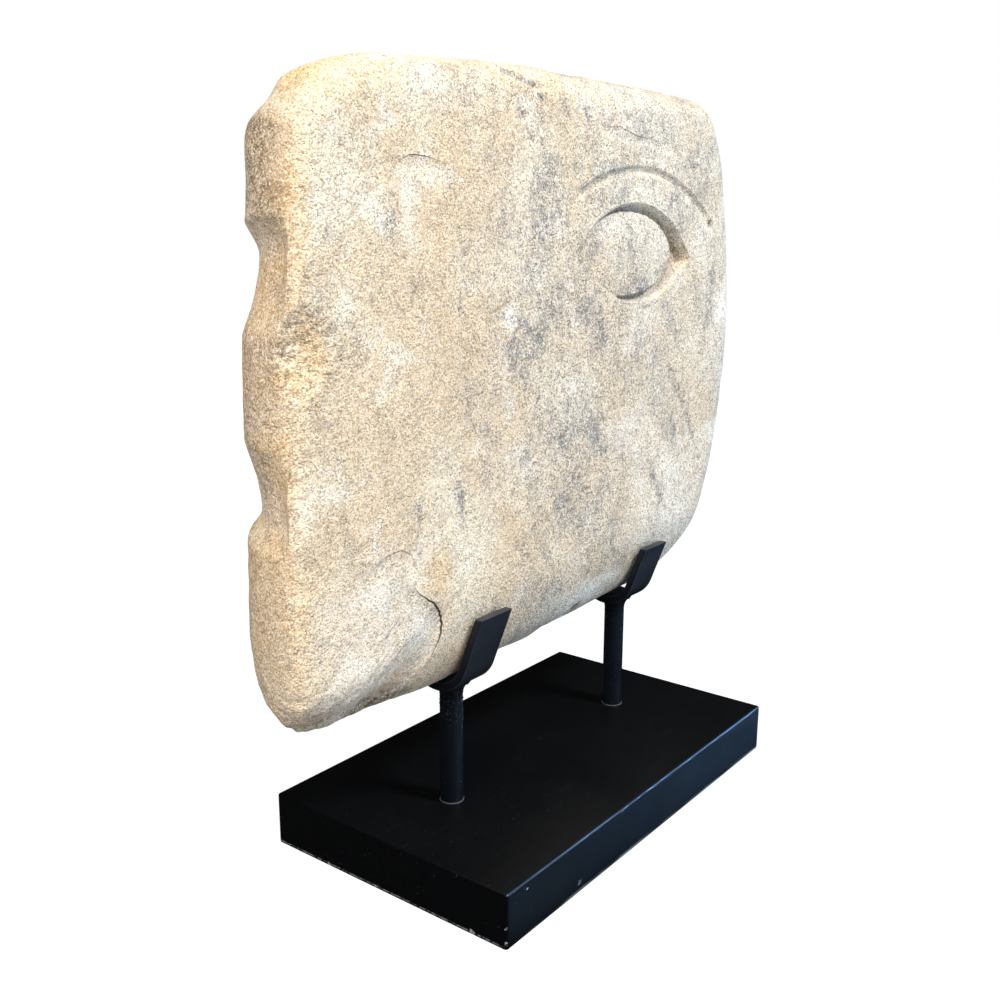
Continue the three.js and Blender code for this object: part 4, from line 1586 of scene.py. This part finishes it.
    def marks(self, points: np.ndarray, normals: np.ndarray, carving: np.ndarray,
              ground: np.ndarray) -> dict[str, np.ndarray]:
        """Works out where the stone is weathered, stained or bleached, and where shade and light are painted
        on.

        Args:
            points: The stone's points.
            normals: The direction that each faces.
            carving: The depth of the carving at each.
            ground: Where the face has flaked to fresher stone.

        Returns:
            For each kind of mark, a number from 0 to 1 for each point.
        """
        wander = self.mark_border.stray(points)
        values = {
            "weathered": self.grey_least + partly(points[:, 0], *self.grey_right),
            "stained": partly(points[:, 0], *self.ochre_left),
            "bleached_and_lit": self.fresh_ground * ground,
            # Painted shade in the carving.
            "painted_shade": partly(carving, *self.recess_shade),
            # Painted shade on the faces that turn towards the left end.
            "end_shade": soft_step(-normals[:, 0] + self.end_shade_wander * wander, *self.end_shade_facing),
        }
        for kind, marks in self.coloured.items():
            for mark in marks:
                values[kind.value] = np.maximum(values[kind.value], mark.share(points, wander))
        return values


@dataclass(frozen=True)
class StandSizes:
    """The stand's sizes.

    Attributes:
        base_corner: The radius of the base's upright corners.
        base_round: The radius of its upper edges.
        base_foot: The chamfer round its foot.
        rod_radius: A rod's radius.
        socket_gap: The space round a rod in its socket.
        socket_depth: How deep a socket is.
        bar_width: The width of the flat bar.
        bar_thickness: Its thickness.
        bar_arris: The radius of its long edges.
        bend_radius: The outer radius of its bend.
        lean: How far its arms lean out, in degrees.
        weld_radius: The radius of the weld where it meets the bar.
        weld_height: The weld's height.
        weld_lap: How far it climbs past the bar's underside.
        weld_flare: How suddenly it widens. 1 is a straight cone.
        bead_inset: How far the ring of beads lies inside the weld's radius.
        bead_drop: How far it lies under the weld's top.
        collar_gap: How far the beads where a rod enters the base stand off the rod.
        spatter_reach: How far down a rod the drops of weld lie.
        spatter_below: How far the middle of that stretch lies under the weld.
    """

    base_corner: float = 0.002
    base_round: float = 0.0012
    base_foot: float = 0.001
    rod_radius: float = 0.00635
    socket_gap: float = 0.0003
    socket_depth: float = 0.014
    bar_width: float = 0.0254
    bar_thickness: float = 0.0045
    bar_arris: float = 0.0006
    bend_radius: float = 0.021
    lean: float = 20.5
    weld_radius: float = 0.012
    weld_height: float = 0.0105
    weld_lap: float = 0.0036
    weld_flare: float = 2.4
    bead_inset: float = 0.0028
    bead_drop: float = 0.0016
    bead_radius: float = 0.0012
    beads: int = 44
    bead_unevenness: float = 0.25
    collar_gap: float = 0.0001
    collar_bead: float = 0.00045
    collar_beads: int = 120
    collar_unevenness: float = 0.12
    spatter_drop: float = 0.00038
    spatter_reach: float = 0.016
    spatter_below: float = 0.006


@dataclass
class BaseBlock:
    """The black lacquered base with its two sockets.

    Attributes:
        chips: Each chipped place, with how far it reaches and how strong it is.
        highlight_band: Where the painted highlight along the upper edge starts and is full, measured down
            from the top.
        highlight_side: The same, measured in from the carved side.
        top_skin: The depth under the top within which no side mark may reach.
    """

    sizes: StandSizes
    chips: tuple[tuple[Triple, float, float], ...] = (
        ((-0.1390, -0.0810, 0.0110), 0.0030, 0.70),
        ((-0.1385, -0.0805, 0.0040), 0.0030, 0.65),
        ((-0.1228, -0.0810, 0.0257), 0.0026, 0.65),
        ((-0.1317, -0.0810, 0.0232), 0.0024, 0.60),
        ((-0.1308, -0.0810, 0.0129), 0.0022, 0.60),
        ((-0.0767, -0.0810, 0.0059), 0.0032, 0.60),
        ((-0.0352, -0.0808, 0.0285), 0.0030, 0.55),
        ((-0.1390, -0.0360, 0.0067), 0.0026, 0.50),
        ((-0.1390, 0.0400, 0.0010), 0.0060, 0.50),
        ((-0.1390, -0.0600, 0.0008), 0.0070, 0.50),
        ((-0.1390, 0.0050, 0.0008), 0.0060, 0.50),
        ((0.0600, -0.0808, 0.0288), 0.0024, 0.50),
        ((0.1390, -0.0810, 0.0200), 0.0030, 0.50),
    )
    step: float = 0.0016
    least_corner: float = 0.0004
    corner_points: int = 7
    side_rings: int = 19
    round_rings: int = 5
    socket_sides: int = 64
    highlight_band: Pair = (0.0010, 0.0006)
    highlight_side: Pair = (0.0011, 0.0007)
    top_skin: float = 0.0001

    def __post_init__(self) -> None:
        """Reads the base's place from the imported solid."""
        _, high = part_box("base_block")
        self.half = (high.x, high.y)
        self.height = high.z

    def _ring(self, inset: float, z: float) -> np.ndarray:
        """Makes a rounded rectangle of points at a height."""
        radius = max(self.sizes.base_corner - inset, self.least_corner)
        x, y = (side - inset - radius for side in self.half)
        bend = np.linspace(0, math.pi / 2, self.corner_points)
        arcs = []
        for quarter, (sx, sy) in enumerate(((1, 1), (-1, 1), (-1, -1), (1, -1))):
            turn = bend + quarter * math.pi / 2
            arcs.append(np.column_stack([sx * x + radius * np.cos(turn), sy * y + radius * np.sin(turn)]))
        parts = []
        for quarter, arc in enumerate(arcs):
            start, end = arc[-1], arcs[(quarter + 1) % 4][0]
            count = int(2 * self.half[quarter % 2] / self.step)
            parts += [arc, start + (end - start) * np.linspace(0, 1, count + 1)[1:-1, None]]
        flat = np.concatenate(parts)
        return np.column_stack([flat, np.full(len(flat), z)])

    def _rings(self) -> list[np.ndarray]:
        """Makes all the rings, from the foot to the top."""
        foot, edge = self.sizes.base_foot, self.sizes.base_round
        top = self.height - edge
        rings = [self._ring(foot, 0), self._ring(foot * 0.3, foot * 0.3)]
        rings += [self._ring(0, z) for z in np.linspace(foot, top, self.side_rings)]
        for turn in np.linspace(0, math.pi / 2, self.round_rings + 1)[1:]:
            rings.append(self._ring(edge * (1 - math.cos(turn)), top + edge * math.sin(turn)))
        return rings

    def build(self, material: bpy.types.Material) -> None:
        """Makes the base and puts it in its place.

        Args:
            material: Its finish.
        """
        rings = self._rings()
        count = len(rings[0])
        faces = [list(range(count))[::-1]]
        for start in range(0, count * (len(rings) - 1), count):
            for i in range(count):
                j = (i + 1) % count
                faces.append([start + i, start + j, start + count + j, start + count + i])
        last = (len(rings) - 1) * count
        faces.append(list(range(last, last + count)))
        mesh = mesh_from("base_block_lacquered", np.concatenate(rings), faces)
        for polygon in mesh.polygons:
            polygon.use_smooth = len(polygon.vertices) == 4
        piece = add_object("lacquered_base", mesh)
        for rod in Side:
            self._drill(piece, f"{rod.value}_rod")
        for name, values in self._marks(vectors_of(piece.data.vertices, "co")).items():
            carry(piece.data, name, values)
        settle(piece, "base_block", material)

    def _marks(self, places: np.ndarray) -> dict[str, np.ndarray]:
        """Says where the base is chipped, and where the painted highlight lies along its long upper edge."""
        chipped = np.zeros(len(places))
        for at, reach, strength in self.chips:
            out = np.linalg.norm((places - np.array(at)) / reach, axis=1)
            chipped = np.maximum(chipped, strength * soft_step(out, 1, 0))
        edge = soft_step(self.height - places[:, 2], *self.highlight_band)
        edge *= soft_step(places[:, 1] + self.half[1], *self.highlight_side)
        for values in (chipped, edge):
            values[places[:, 2] > self.height - self.top_skin] = 0
        return {"chipped": chipped, "edge": edge}

    def _drill(self, piece: bpy.types.Object, rod: str) -> None:
        """Cuts the socket for a rod."""
        low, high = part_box(rod)
        bpy.ops.mesh.primitive_cylinder_add(
            vertices=self.socket_sides,
            radius=self.sizes.rod_radius + self.sizes.socket_gap,
            depth=2 * self.sizes.socket_depth,
            location=((low.x + high.x) / 2, (low.y + high.y) / 2, self.height),
        )
        cutter = bpy.context.object
        cut = piece.modifiers.new("socket", "BOOLEAN")
        cut.object = cutter
        cut.solver = "EXACT"
        flatten(piece, cut)
        bpy.data.objects.remove(cutter)


class FormGraph(Graph):
    """A geometry tree that makes one kind of piece from named sizes."""

    ball_level = 2

    def __init__(self, name: str, sizes: Iterable[str]) -> None:
        """Starts the tree with an input for each size.

        Args:
            name: The tree's name.
            sizes: The names of its sizes.
        """
        super().__init__(bpy.data.node_groups.new(name, "GeometryNodeTree"))
        face = self.tree.interface
        face.new_socket("Geometry", in_out="INPUT", socket_type="NodeSocketGeometry")
        for size in sizes:
            face.new_socket(size, in_out="INPUT", socket_type="NodeSocketFloat")
        face.new_socket("Finish", in_out="INPUT", socket_type="NodeSocketMaterial")
        face.new_socket("Geometry", in_out="OUTPUT", socket_type="NodeSocketGeometry")
        self.given = self.node("NodeGroupInput")

    def size(self, name: str) -> Signal:
        """Returns one of the tree's sizes."""
        return self.signal(self.given, name)

    def made(self, *node: Any) -> bpy.types.NodeSocket:
        """Adds a node and returns its first output."""
        return self.output(self.node(*node))

    def vector(self, x: Any = 0.0, y: Any = 0.0, z: Any = 0.0) -> bpy.types.NodeSocket:
        """Joins three numbers to a place."""
        return self.made("ShaderNodeCombineXYZ", None, {"X": x, "Y": y, "Z": z})

    def factor(self) -> Signal:
        """Returns how far along its curve each point is, from 0 to 1."""
        return self.signal(self.node("GeometryNodeSplineParameter"), "Factor")

    def lifted(self, geometry: bpy.types.NodeSocket) -> bpy.types.NodeSocket:
        """Moves geometry to the tree's Centre X and Height."""
        offset = self.vector(self.size("Centre X"), 0.0, self.size("Height"))
        return self.made("GeometryNodeSetPosition", None, {"Geometry": geometry, "Offset": offset})

    def balls(self, points: bpy.types.NodeSocket, radius: Signal, sizes: Sequence[Any],
              seed: int) -> bpy.types.NodeSocket:
        """Puts a small ball on every point.

        Args:
            points: The points.
            radius: The ball's radius.
            sizes: How many times larger the smallest and the largest ball are.
            seed: Picks which ball is how large.

        Returns:
            The balls.
        """
        ball = self.made("GeometryNodeMeshIcoSphere", None, {
            "Radius": radius, "Subdivisions": self.ball_level,
        })
        random = self.node("FunctionNodeRandomValue", {"data_type": "FLOAT"}, {
            "Min_001": sizes[0], "Max_001": sizes[1], "Seed": seed,
        })
        return self.made("GeometryNodeInstanceOnPoints", None, {
            "Points": points, "Instance": ball, "Scale": self.signal(random, "Value_001"),
        })

    def close(self, geometry: bpy.types.NodeSocket) -> "FormGraph":
        """Ends the tree with real geometry that has the piece's finish, and returns the tree."""
        real = self.made("GeometryNodeRealizeInstances", None, {"Geometry": geometry})
        dressed = self.made("GeometryNodeSetMaterial", None, {
            "Geometry": real, "Material": self.output(self.given, "Finish"),
        })
        self.node("NodeGroupOutput", None, {"Geometry": dressed})
        return self

    def grow(self, name: str, sizes: dict[str, float], material: bpy.types.Material) -> bpy.types.Object:
        """Runs the tree once and keeps its result as a plain mesh.

        Args:
            name: The new piece's name.
            sizes: A number for each of the tree's sizes.
            material: The piece's finish.

        Returns:
            The piece.
        """
        piece = add_object(name, bpy.data.meshes.new(name))
        grown = piece.modifiers.new("form", "NODES")
        grown.node_group = self.tree
        for item in self.tree.interface.items_tree:
            if item.in_out == "INPUT" and item.name in sizes:
                grown[item.identifier] = float(sizes[item.name])
            elif item.in_out == "INPUT" and item.name == "Finish":
                grown[item.identifier] = material
        flatten(piece, grown)
        return piece


def bent_bar_form(path_points: int = 97, arris_steps: int = 4, tip_reach: float = 0.006) -> FormGraph:
    """Builds the tree that sweeps a flat bar along a U with leaning arms and level tips.

    Args:
        path_points: How many sections the bar has.
        arris_steps: How many steps round off each of its long edges.
        tip_reach: How far from its tips the sections are slid to make the tips level.

    Returns:
        The tree.
    """
    form = FormGraph("bent_bar", (
        "Centre X", "Underside", "Tip", "Bend Radius", "Thickness", "Width", "Half Bend", "Arris",
    ))
    middle = form.size("Bend Radius") - form.size("Thickness") * 0.5
    half_bend = form.size("Half Bend")
    centre_z = form.size("Underside") + form.size("Bend Radius")
    arm_rise = form.size("Tip") - centre_z + middle * half_bend.cosine()
    arm = arm_rise / half_bend.sine()
    run = (form.factor() * 2 - 1) * (middle * half_bend + arm)
    turn = (run / middle).least(half_bend).most(half_bend * -1)
    spare = (abs(run) - middle * half_bend).most(0.0)
    y = middle * turn.sine() + run.sign() * spare * half_bend.cosine()
    z = centre_z - middle * turn.cosine() + spare * half_bend.sine()
    line = form.made("GeometryNodeCurvePrimitiveLine", None, {"End": (1, 0, 0)})
    path = form.made("GeometryNodeSetPosition", None, {
        "Geometry": form.made("GeometryNodeResampleCurve", None, {"Curve": line, "Count": path_points}),
        "Position": form.vector(form.size("Centre X"), y, z),
    })
    section = form.made("GeometryNodeCurvePrimitiveQuadrilateral", None, {
        "Width": form.size("Width"), "Height": form.size("Thickness"),
    })
    swept = form.made("GeometryNodeCurveToMesh", None, {
        "Curve": form.made("GeometryNodeSetCurveNormal", {"mode": "FREE"}, {
            "Curve": path, "Normal": (1.0, 0.0, 0.0),
        }),
        "Profile Curve": form.made("GeometryNodeFilletCurve", {"mode": "POLY"}, {
            "Curve": section, "Radius": form.size("Arris"), "Count": arris_steps,
        }),
        "Fill Caps": True,
    })
    place = form.node("ShaderNodeSeparateXYZ", None, {"Vector": form.made("GeometryNodeInputPosition")})
    x, y, z = (form.signal(place, axis) for axis in "XYZ")
    past = abs(y) - middle * half_bend.sine() - arm * half_bend.cosine()
    above = z - form.size("Tip")
    along = past * half_bend.cosine() + above * half_bend.sine()
    across = above * half_bend.cosine() - past * half_bend.sine()
    slide = (along / tip_reach + 1).most(0.0) * across * half_bend.cosine() / half_bend.sine() * -1
    level = form.vector(x, y + y.sign() * slide * half_bend.cosine(), z + slide * half_bend.sine())
    return form.close(form.made("GeometryNodeSetPosition", None, {"Geometry": swept, "Position": level}))


def ring_form(sides: int = 96, seed: int = 5) -> FormGraph:
    """Builds the tree that lays a ring of small round beads about an upright axis.

    Args:
        sides: How many sides the ring's own circle has.
        seed: Picks which bead is how large.

    Returns:
        The tree.
    """
    form = FormGraph("bead_ring", ("Centre X", "Height", "Radius", "Bead", "Beads", "Unevenness"))
    circle = form.made("GeometryNodeCurvePrimitiveCircle", None, {
        "Resolution": sides, "Radius": form.size("Radius"),
    })
    points = form.made("GeometryNodeCurveToPoints", None, {"Curve": circle, "Count": form.size("Beads")})
    spread = form.size("Unevenness")
    return form.close(form.balls(form.lifted(points), form.size("Bead"), (1 - spread, 1 + spread), seed))


def spatter_form(sides: int = 48, drop_sizes: Pair = (0.4, 1.3), seed: int = 9) -> FormGraph:
    """Builds the tree that scatters small drops of weld over the top of a rod.

    Args:
        sides: How many sides the tube that carries them has.
        drop_sizes: How many times larger the smallest and the largest drop are.
        seed: Picks which drop is how large.

    Returns:
        The tree.
    """
    form = FormGraph("weld_spatter", ("Centre X", "Height", "Radius", "Reach", "Density", "Drop", "Seed"))
    tube = form.made("GeometryNodeMeshCylinder", {"fill_type": "NONE"}, {
        "Vertices": sides, "Radius": form.size("Radius"), "Depth": form.size("Reach"),
    })
    points = form.made("GeometryNodeDistributePointsOnFaces", None, {
        "Mesh": form.lifted(tube), "Density": form.size("Density"), "Seed": form.size("Seed"),
    })
    return form.close(form.balls(points, form.size("Drop"), drop_sizes, seed))


def turned_bar_form(points: int = 33, sides: int = 64) -> FormGraph:
    """Builds the tree that turns a round bar whose radius grows towards its top.

    Args:
        points: How many sections the bar has.
        sides: How many sides it has.

    Returns:
        The tree.
    """
    form = FormGraph("turned_bar", ("Centre X", "Foot", "Top", "Radius", "Top Radius", "Flare"))
    line = form.made("GeometryNodeCurvePrimitiveLine", None, {
        "Start": form.vector(form.size("Centre X"), 0.0, form.size("Foot")),
        "End": form.vector(form.size("Centre X"), 0.0, form.size("Top")),
    })
    swell = form.size("Top Radius") - form.size("Radius")
    shaped = form.made("GeometryNodeSetCurveRadius", None, {
        "Curve": form.made("GeometryNodeResampleCurve", None, {"Curve": line, "Count": points}),
        "Radius": form.size("Radius") + swell * form.factor() ** form.size("Flare"),
    })
    return form.close(form.made("GeometryNodeCurveToMesh", None, {
        "Curve": shaped,
        "Profile Curve": form.made("GeometryNodeCurvePrimitiveCircle", None, {
            "Resolution": sides, "Radius": 1.0,
        }),
        "Scale": form.signal(form.node("GeometryNodeInputRadius")),
        "Fill Caps": True,
    }))


@dataclass
class Cradle:
    """One rod with its weld and its bent bar.

    Attributes:
        side: Which of the two it is.
        sizes: The stand's sizes.
        spatter: For each side, how many drops of weld lie on a square metre, and their seed.
        painted_highlight: How much painted highlight the weld's beads, the collar and the drops carry.
    """

    side: Side
    sizes: StandSizes
    spatter: dict[Side, tuple[int, int]] = field(
        default_factory=lambda: {Side.LEFT: (260000, 4), Side.RIGHT: (30000, 5)},
    )
    painted_highlight: Triple = (0.05, 0.45, 0.12)
    # Painted highlight along the bar's two edges and over its tips.
    edge_highlight: float = 0.35
    edge_start: Pair = (0.00004, 0.00018)
    edge_stop: Pair = (0.0008, 0.0004)
    tip_highlight: float = 0.20
    tip_reach: float = 0.0008
    patchy: Unevenness = Unevenness(41, 0.009, 2, 0.4)
    sharp_angle: float = 40

    def __post_init__(self) -> None:
        """Reads the cradle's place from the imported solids."""
        rod_low, rod_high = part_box(f"{self.side.value}_rod")
        bar_low, bar_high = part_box(f"{self.side.value}_cradle")
        self.x = (rod_low.x + rod_high.x) / 2
        self.foot, self.rod_top = rod_low.z, rod_high.z
        self.weld_foot, self.tip = bar_low.z, bar_high.z
        self.weld_top = self.weld_foot + self.sizes.weld_height

    def _grow(self, form: FormGraph, name: str, sizes: dict[str, float],
              material: bpy.types.Material) -> bpy.types.Object:
        """Makes one piece on the cradle's own axis."""
        return form.grow(f"{self.side.value}_{name}", {"Centre X": self.x, **sizes}, material)

    def build(self, forms: dict[str, FormGraph], material: bpy.types.Material) -> None:
        """Makes the rod, the weld with its beads and drops, and the bar.

        Args:
            forms: The trees that make the pieces.
            material: Their finish.
        """
        sizes = self.sizes
        density, seed = self.spatter[self.side]
        strap = self._grow(forms["bar"], "strap", {
            "Underside": self.weld_top - sizes.weld_lap, "Tip": self.tip,
            "Bend Radius": sizes.bend_radius, "Thickness": sizes.bar_thickness,
            "Width": sizes.bar_width, "Half Bend": math.radians(90 - sizes.lean), "Arris": sizes.bar_arris,
        }, material)
        rod = self._grow(forms["round"], "round_rod", {
            "Foot": self.foot, "Top": self.rod_top,
            "Radius": sizes.rod_radius, "Top Radius": sizes.rod_radius, "Flare": 1,
        }, material)
        weld = self._grow(forms["round"], "weld", {
            "Foot": self.weld_foot, "Top": self.weld_top,
            "Radius": sizes.rod_radius, "Top Radius": sizes.weld_radius, "Flare": sizes.weld_flare,
        }, material)
        bead = self._grow(forms["ring"], "weld_bead", {
            "Height": self.weld_top - sizes.bead_drop, "Radius": sizes.weld_radius - sizes.bead_inset,
            "Bead": sizes.bead_radius, "Beads": sizes.beads, "Unevenness": sizes.bead_unevenness,
        }, material)
        collar = self._grow(forms["ring"], "collar", {
            "Height": self.foot + sizes.socket_depth, "Radius": sizes.rod_radius + sizes.collar_gap,
            "Bead": sizes.collar_bead, "Beads": sizes.collar_beads, "Unevenness": sizes.collar_unevenness,
        }, material)
        drops = self._grow(forms["spatter"], "spatter", {
            "Height": self.weld_foot - sizes.spatter_below, "Radius": sizes.rod_radius,
            "Reach": sizes.spatter_reach, "Density": density, "Drop": sizes.spatter_drop, "Seed": seed,
        }, material)
        # Painted highlight on the weld's beads, the collar and the drops.
        bead_highlight, collar_highlight, drop_highlight = self.painted_highlight
        pieces = {
            strap: ("cradle", self._edge_highlight(strap)), rod: ("rod", 0), weld: ("cradle", 0),
            bead: ("cradle", bead_highlight), collar: ("rod", collar_highlight), drops: ("rod", drop_highlight),
        }
        for piece, (node, painted_highlight) in pieces.items():
            piece.data.polygons.foreach_set("use_smooth", [True] * len(piece.data.polygons))
            piece.data.set_sharp_from_angle(angle=math.radians(self.sharp_angle))
            carry(piece.data, "painted_highlight", np.zeros(len(piece.data.vertices)) + painted_highlight)
            settle(piece, f"{self.side.value}_{node}", material)

    def _edge_highlight(self, strap: bpy.types.Object) -> np.ndarray:
        """Works out the bar's painted highlight: a little along its two edges and at its tips."""
        places = vectors_of(strap.data.vertices, "co")
        off_edge = self.sizes.bar_width / 2 - np.abs(places[:, 0] - self.x)
        edge = self.edge_highlight * soft_step(off_edge, *self.edge_start) * soft_step(off_edge, *self.edge_stop)
        tip = self.tip_highlight * soft_step(places[:, 2], self.tip - self.tip_reach, self.tip)
        return np.maximum(edge, tip) * (1 - self.patchy.height + self.patchy.stray(places))


@dataclass(frozen=True)
class Lamp:
    """A soft light."""

    name: str
    place: Triple
    size: float
    watts: float
    colour: Triple
    aim: Triple = (0.0, 0.0, 0.22)
    spread: float = 180
    mirrored: bool = True

    def add(self) -> None:
        """Puts the light into the scene."""
        light = bpy.data.lights.new(self.name, "AREA")
        light.shape = "DISK"
        light.size = self.size
        light.energy = self.watts
        light.color = self.colour
        light.spread = math.radians(self.spread)
        lamp = add_object(self.name, light)
        turn = (Vector(self.aim) - Vector(self.place)).to_track_quat("-Z", "Y")
        lamp.matrix_world = Matrix.Translation(self.place) @ turn.to_matrix().to_4x4()
        lamp.visible_glossy = self.mirrored


@dataclass(frozen=True)
class Studio:
    """The floor, the lights and the camera.

    Attributes:
        eye: Where the camera stands.
        azimuth: The camera's bearing in degrees.
        elevation: How far it looks down, in degrees.
        roll: How far it is turned about its own axis, in degrees.
        focal_pixels: Its focal length, in pixels of the picture.
        picture_pixels: The picture's width in pixels.
        sensor: The width of its sensor in Blender's millimetres.
        nearest: The distance at which it starts to see.
        floor_reach: Half the floor's width.
        seen: How bright the surroundings look to the camera.
        lighting: How bright they are as a light.
        mirrored: How bright they are in a reflection.
        lamps: The lights.
    """

    eye: Triple = (-0.5148, -0.3656, 0.3367)
    azimuth: float = -52.39
    elevation: float = 13.53
    roll: float = 0.19
    focal_pixels: float = 1118
    picture_pixels: float = 1000
    sensor: float = 36
    nearest: float = 0.01
    floor_reach: float = 6.0
    seen: float = 1.00
    lighting: float = 0.05
    mirrored: float = 0.02
    lamps: tuple[Lamp, ...] = (
        Lamp("key", (0.30, -1.45, 1.95), 0.5, 56, (1.0, 0.985, 0.96)),
        Lamp("side", (1.45, -0.60, 0.22), 0.6, 14, (0.36, 0.66, 1.0), mirrored=False),
        Lamp("low", (1.2, -0.95, 0.035), 0.10, 0.08, (0.24, 0.55, 1.0), aim=(0.05, -0.08, -0.03), spread=10),
        Lamp("warm", (-1.5, -0.5, 1.5), 1.0, 53, (1.0, 0.90, 0.77), mirrored=False),
    )

    def add_camera(self) -> None:
        """Puts the camera where the photograph was taken from."""
        lens = bpy.data.cameras.new("camera")
        lens.sensor_width = self.sensor
        lens.lens = self.focal_pixels / self.picture_pixels * self.sensor
        lens.clip_start = self.nearest
        azimuth, elevation = math.radians(self.azimuth), math.radians(self.elevation)
        back = Vector((
            math.sin(azimuth) * math.cos(elevation),
            -math.cos(azimuth) * math.cos(elevation),
            math.sin(elevation),
        ))
        right = (-back).cross(Vector((0, 0, 1))).normalized()
        up = back.cross(right)
        turn = math.radians(self.roll)
        right, up = (
            math.cos(turn) * right + math.sin(turn) * up,
            math.cos(turn) * up - math.sin(turn) * right,
        )
        camera = add_object("camera", lens)
        camera.matrix_world = Matrix.Translation(self.eye) @ Matrix((right, up, back)).transposed().to_4x4()
        bpy.context.scene.camera = camera

    def add_floor(self) -> None:
        """Lays the pale floor."""
        reach = self.floor_reach
        corners = np.array([[-reach, -reach, 0], [reach, -reach, 0], [reach, reach, 0], [-reach, reach, 0]])
        floor = add_object("floor", mesh_from("floor", corners, [(0, 1, 2, 3)]))
        floor.data.materials.append(FloorWhite().make())

    def add_world(self) -> None:
        """Makes the surroundings white to look at, dim to be lit by and dark to be mirrored."""
        world = bpy.data.worlds.new("surroundings")
        world.use_nodes = True
        bpy.context.scene.world = world
        graph = Graph(world.node_tree)
        ray = graph.node("ShaderNodeLightPath")
        strength = graph.signal(ray, "Is Camera Ray") * (self.seen - self.mirrored)
        strength += graph.signal(ray, "Is Diffuse Ray") * (self.lighting - self.mirrored)
        light = graph.node("ShaderNodeBackground", None, {
            "Color": (1, 1, 1, 1), "Strength": strength + self.mirrored,
        })
        graph.node("ShaderNodeOutputWorld", None, {"Surface": graph.output(light)})
        bpy.context.scene.view_settings.view_transform = "Standard"

    def build(self) -> None:
        """Sets up everything round the object."""
        self.add_camera()
        self.add_world()
        self.add_floor()
        for lamp in self.lamps:
            lamp.add()


def main() -> None:
    """Builds the object in its surroundings and dresses every piece."""
    logging.basicConfig(level=logging.INFO, format="%(message)s")
    Studio().build()
    StonePanel().build(Sandstone().make())
    sizes = StandSizes()
    BaseBlock(sizes).build(BaseLacquer().make())
    steel = StandSteel().make()
    forms = {
        "bar": bent_bar_form(), "round": turned_bar_form(), "ring": ring_form(), "spatter": spatter_form(),
    }
    for side in Side:
        Cradle(side, sizes).build(forms, steel)


if __name__ == "__main__":
    main()
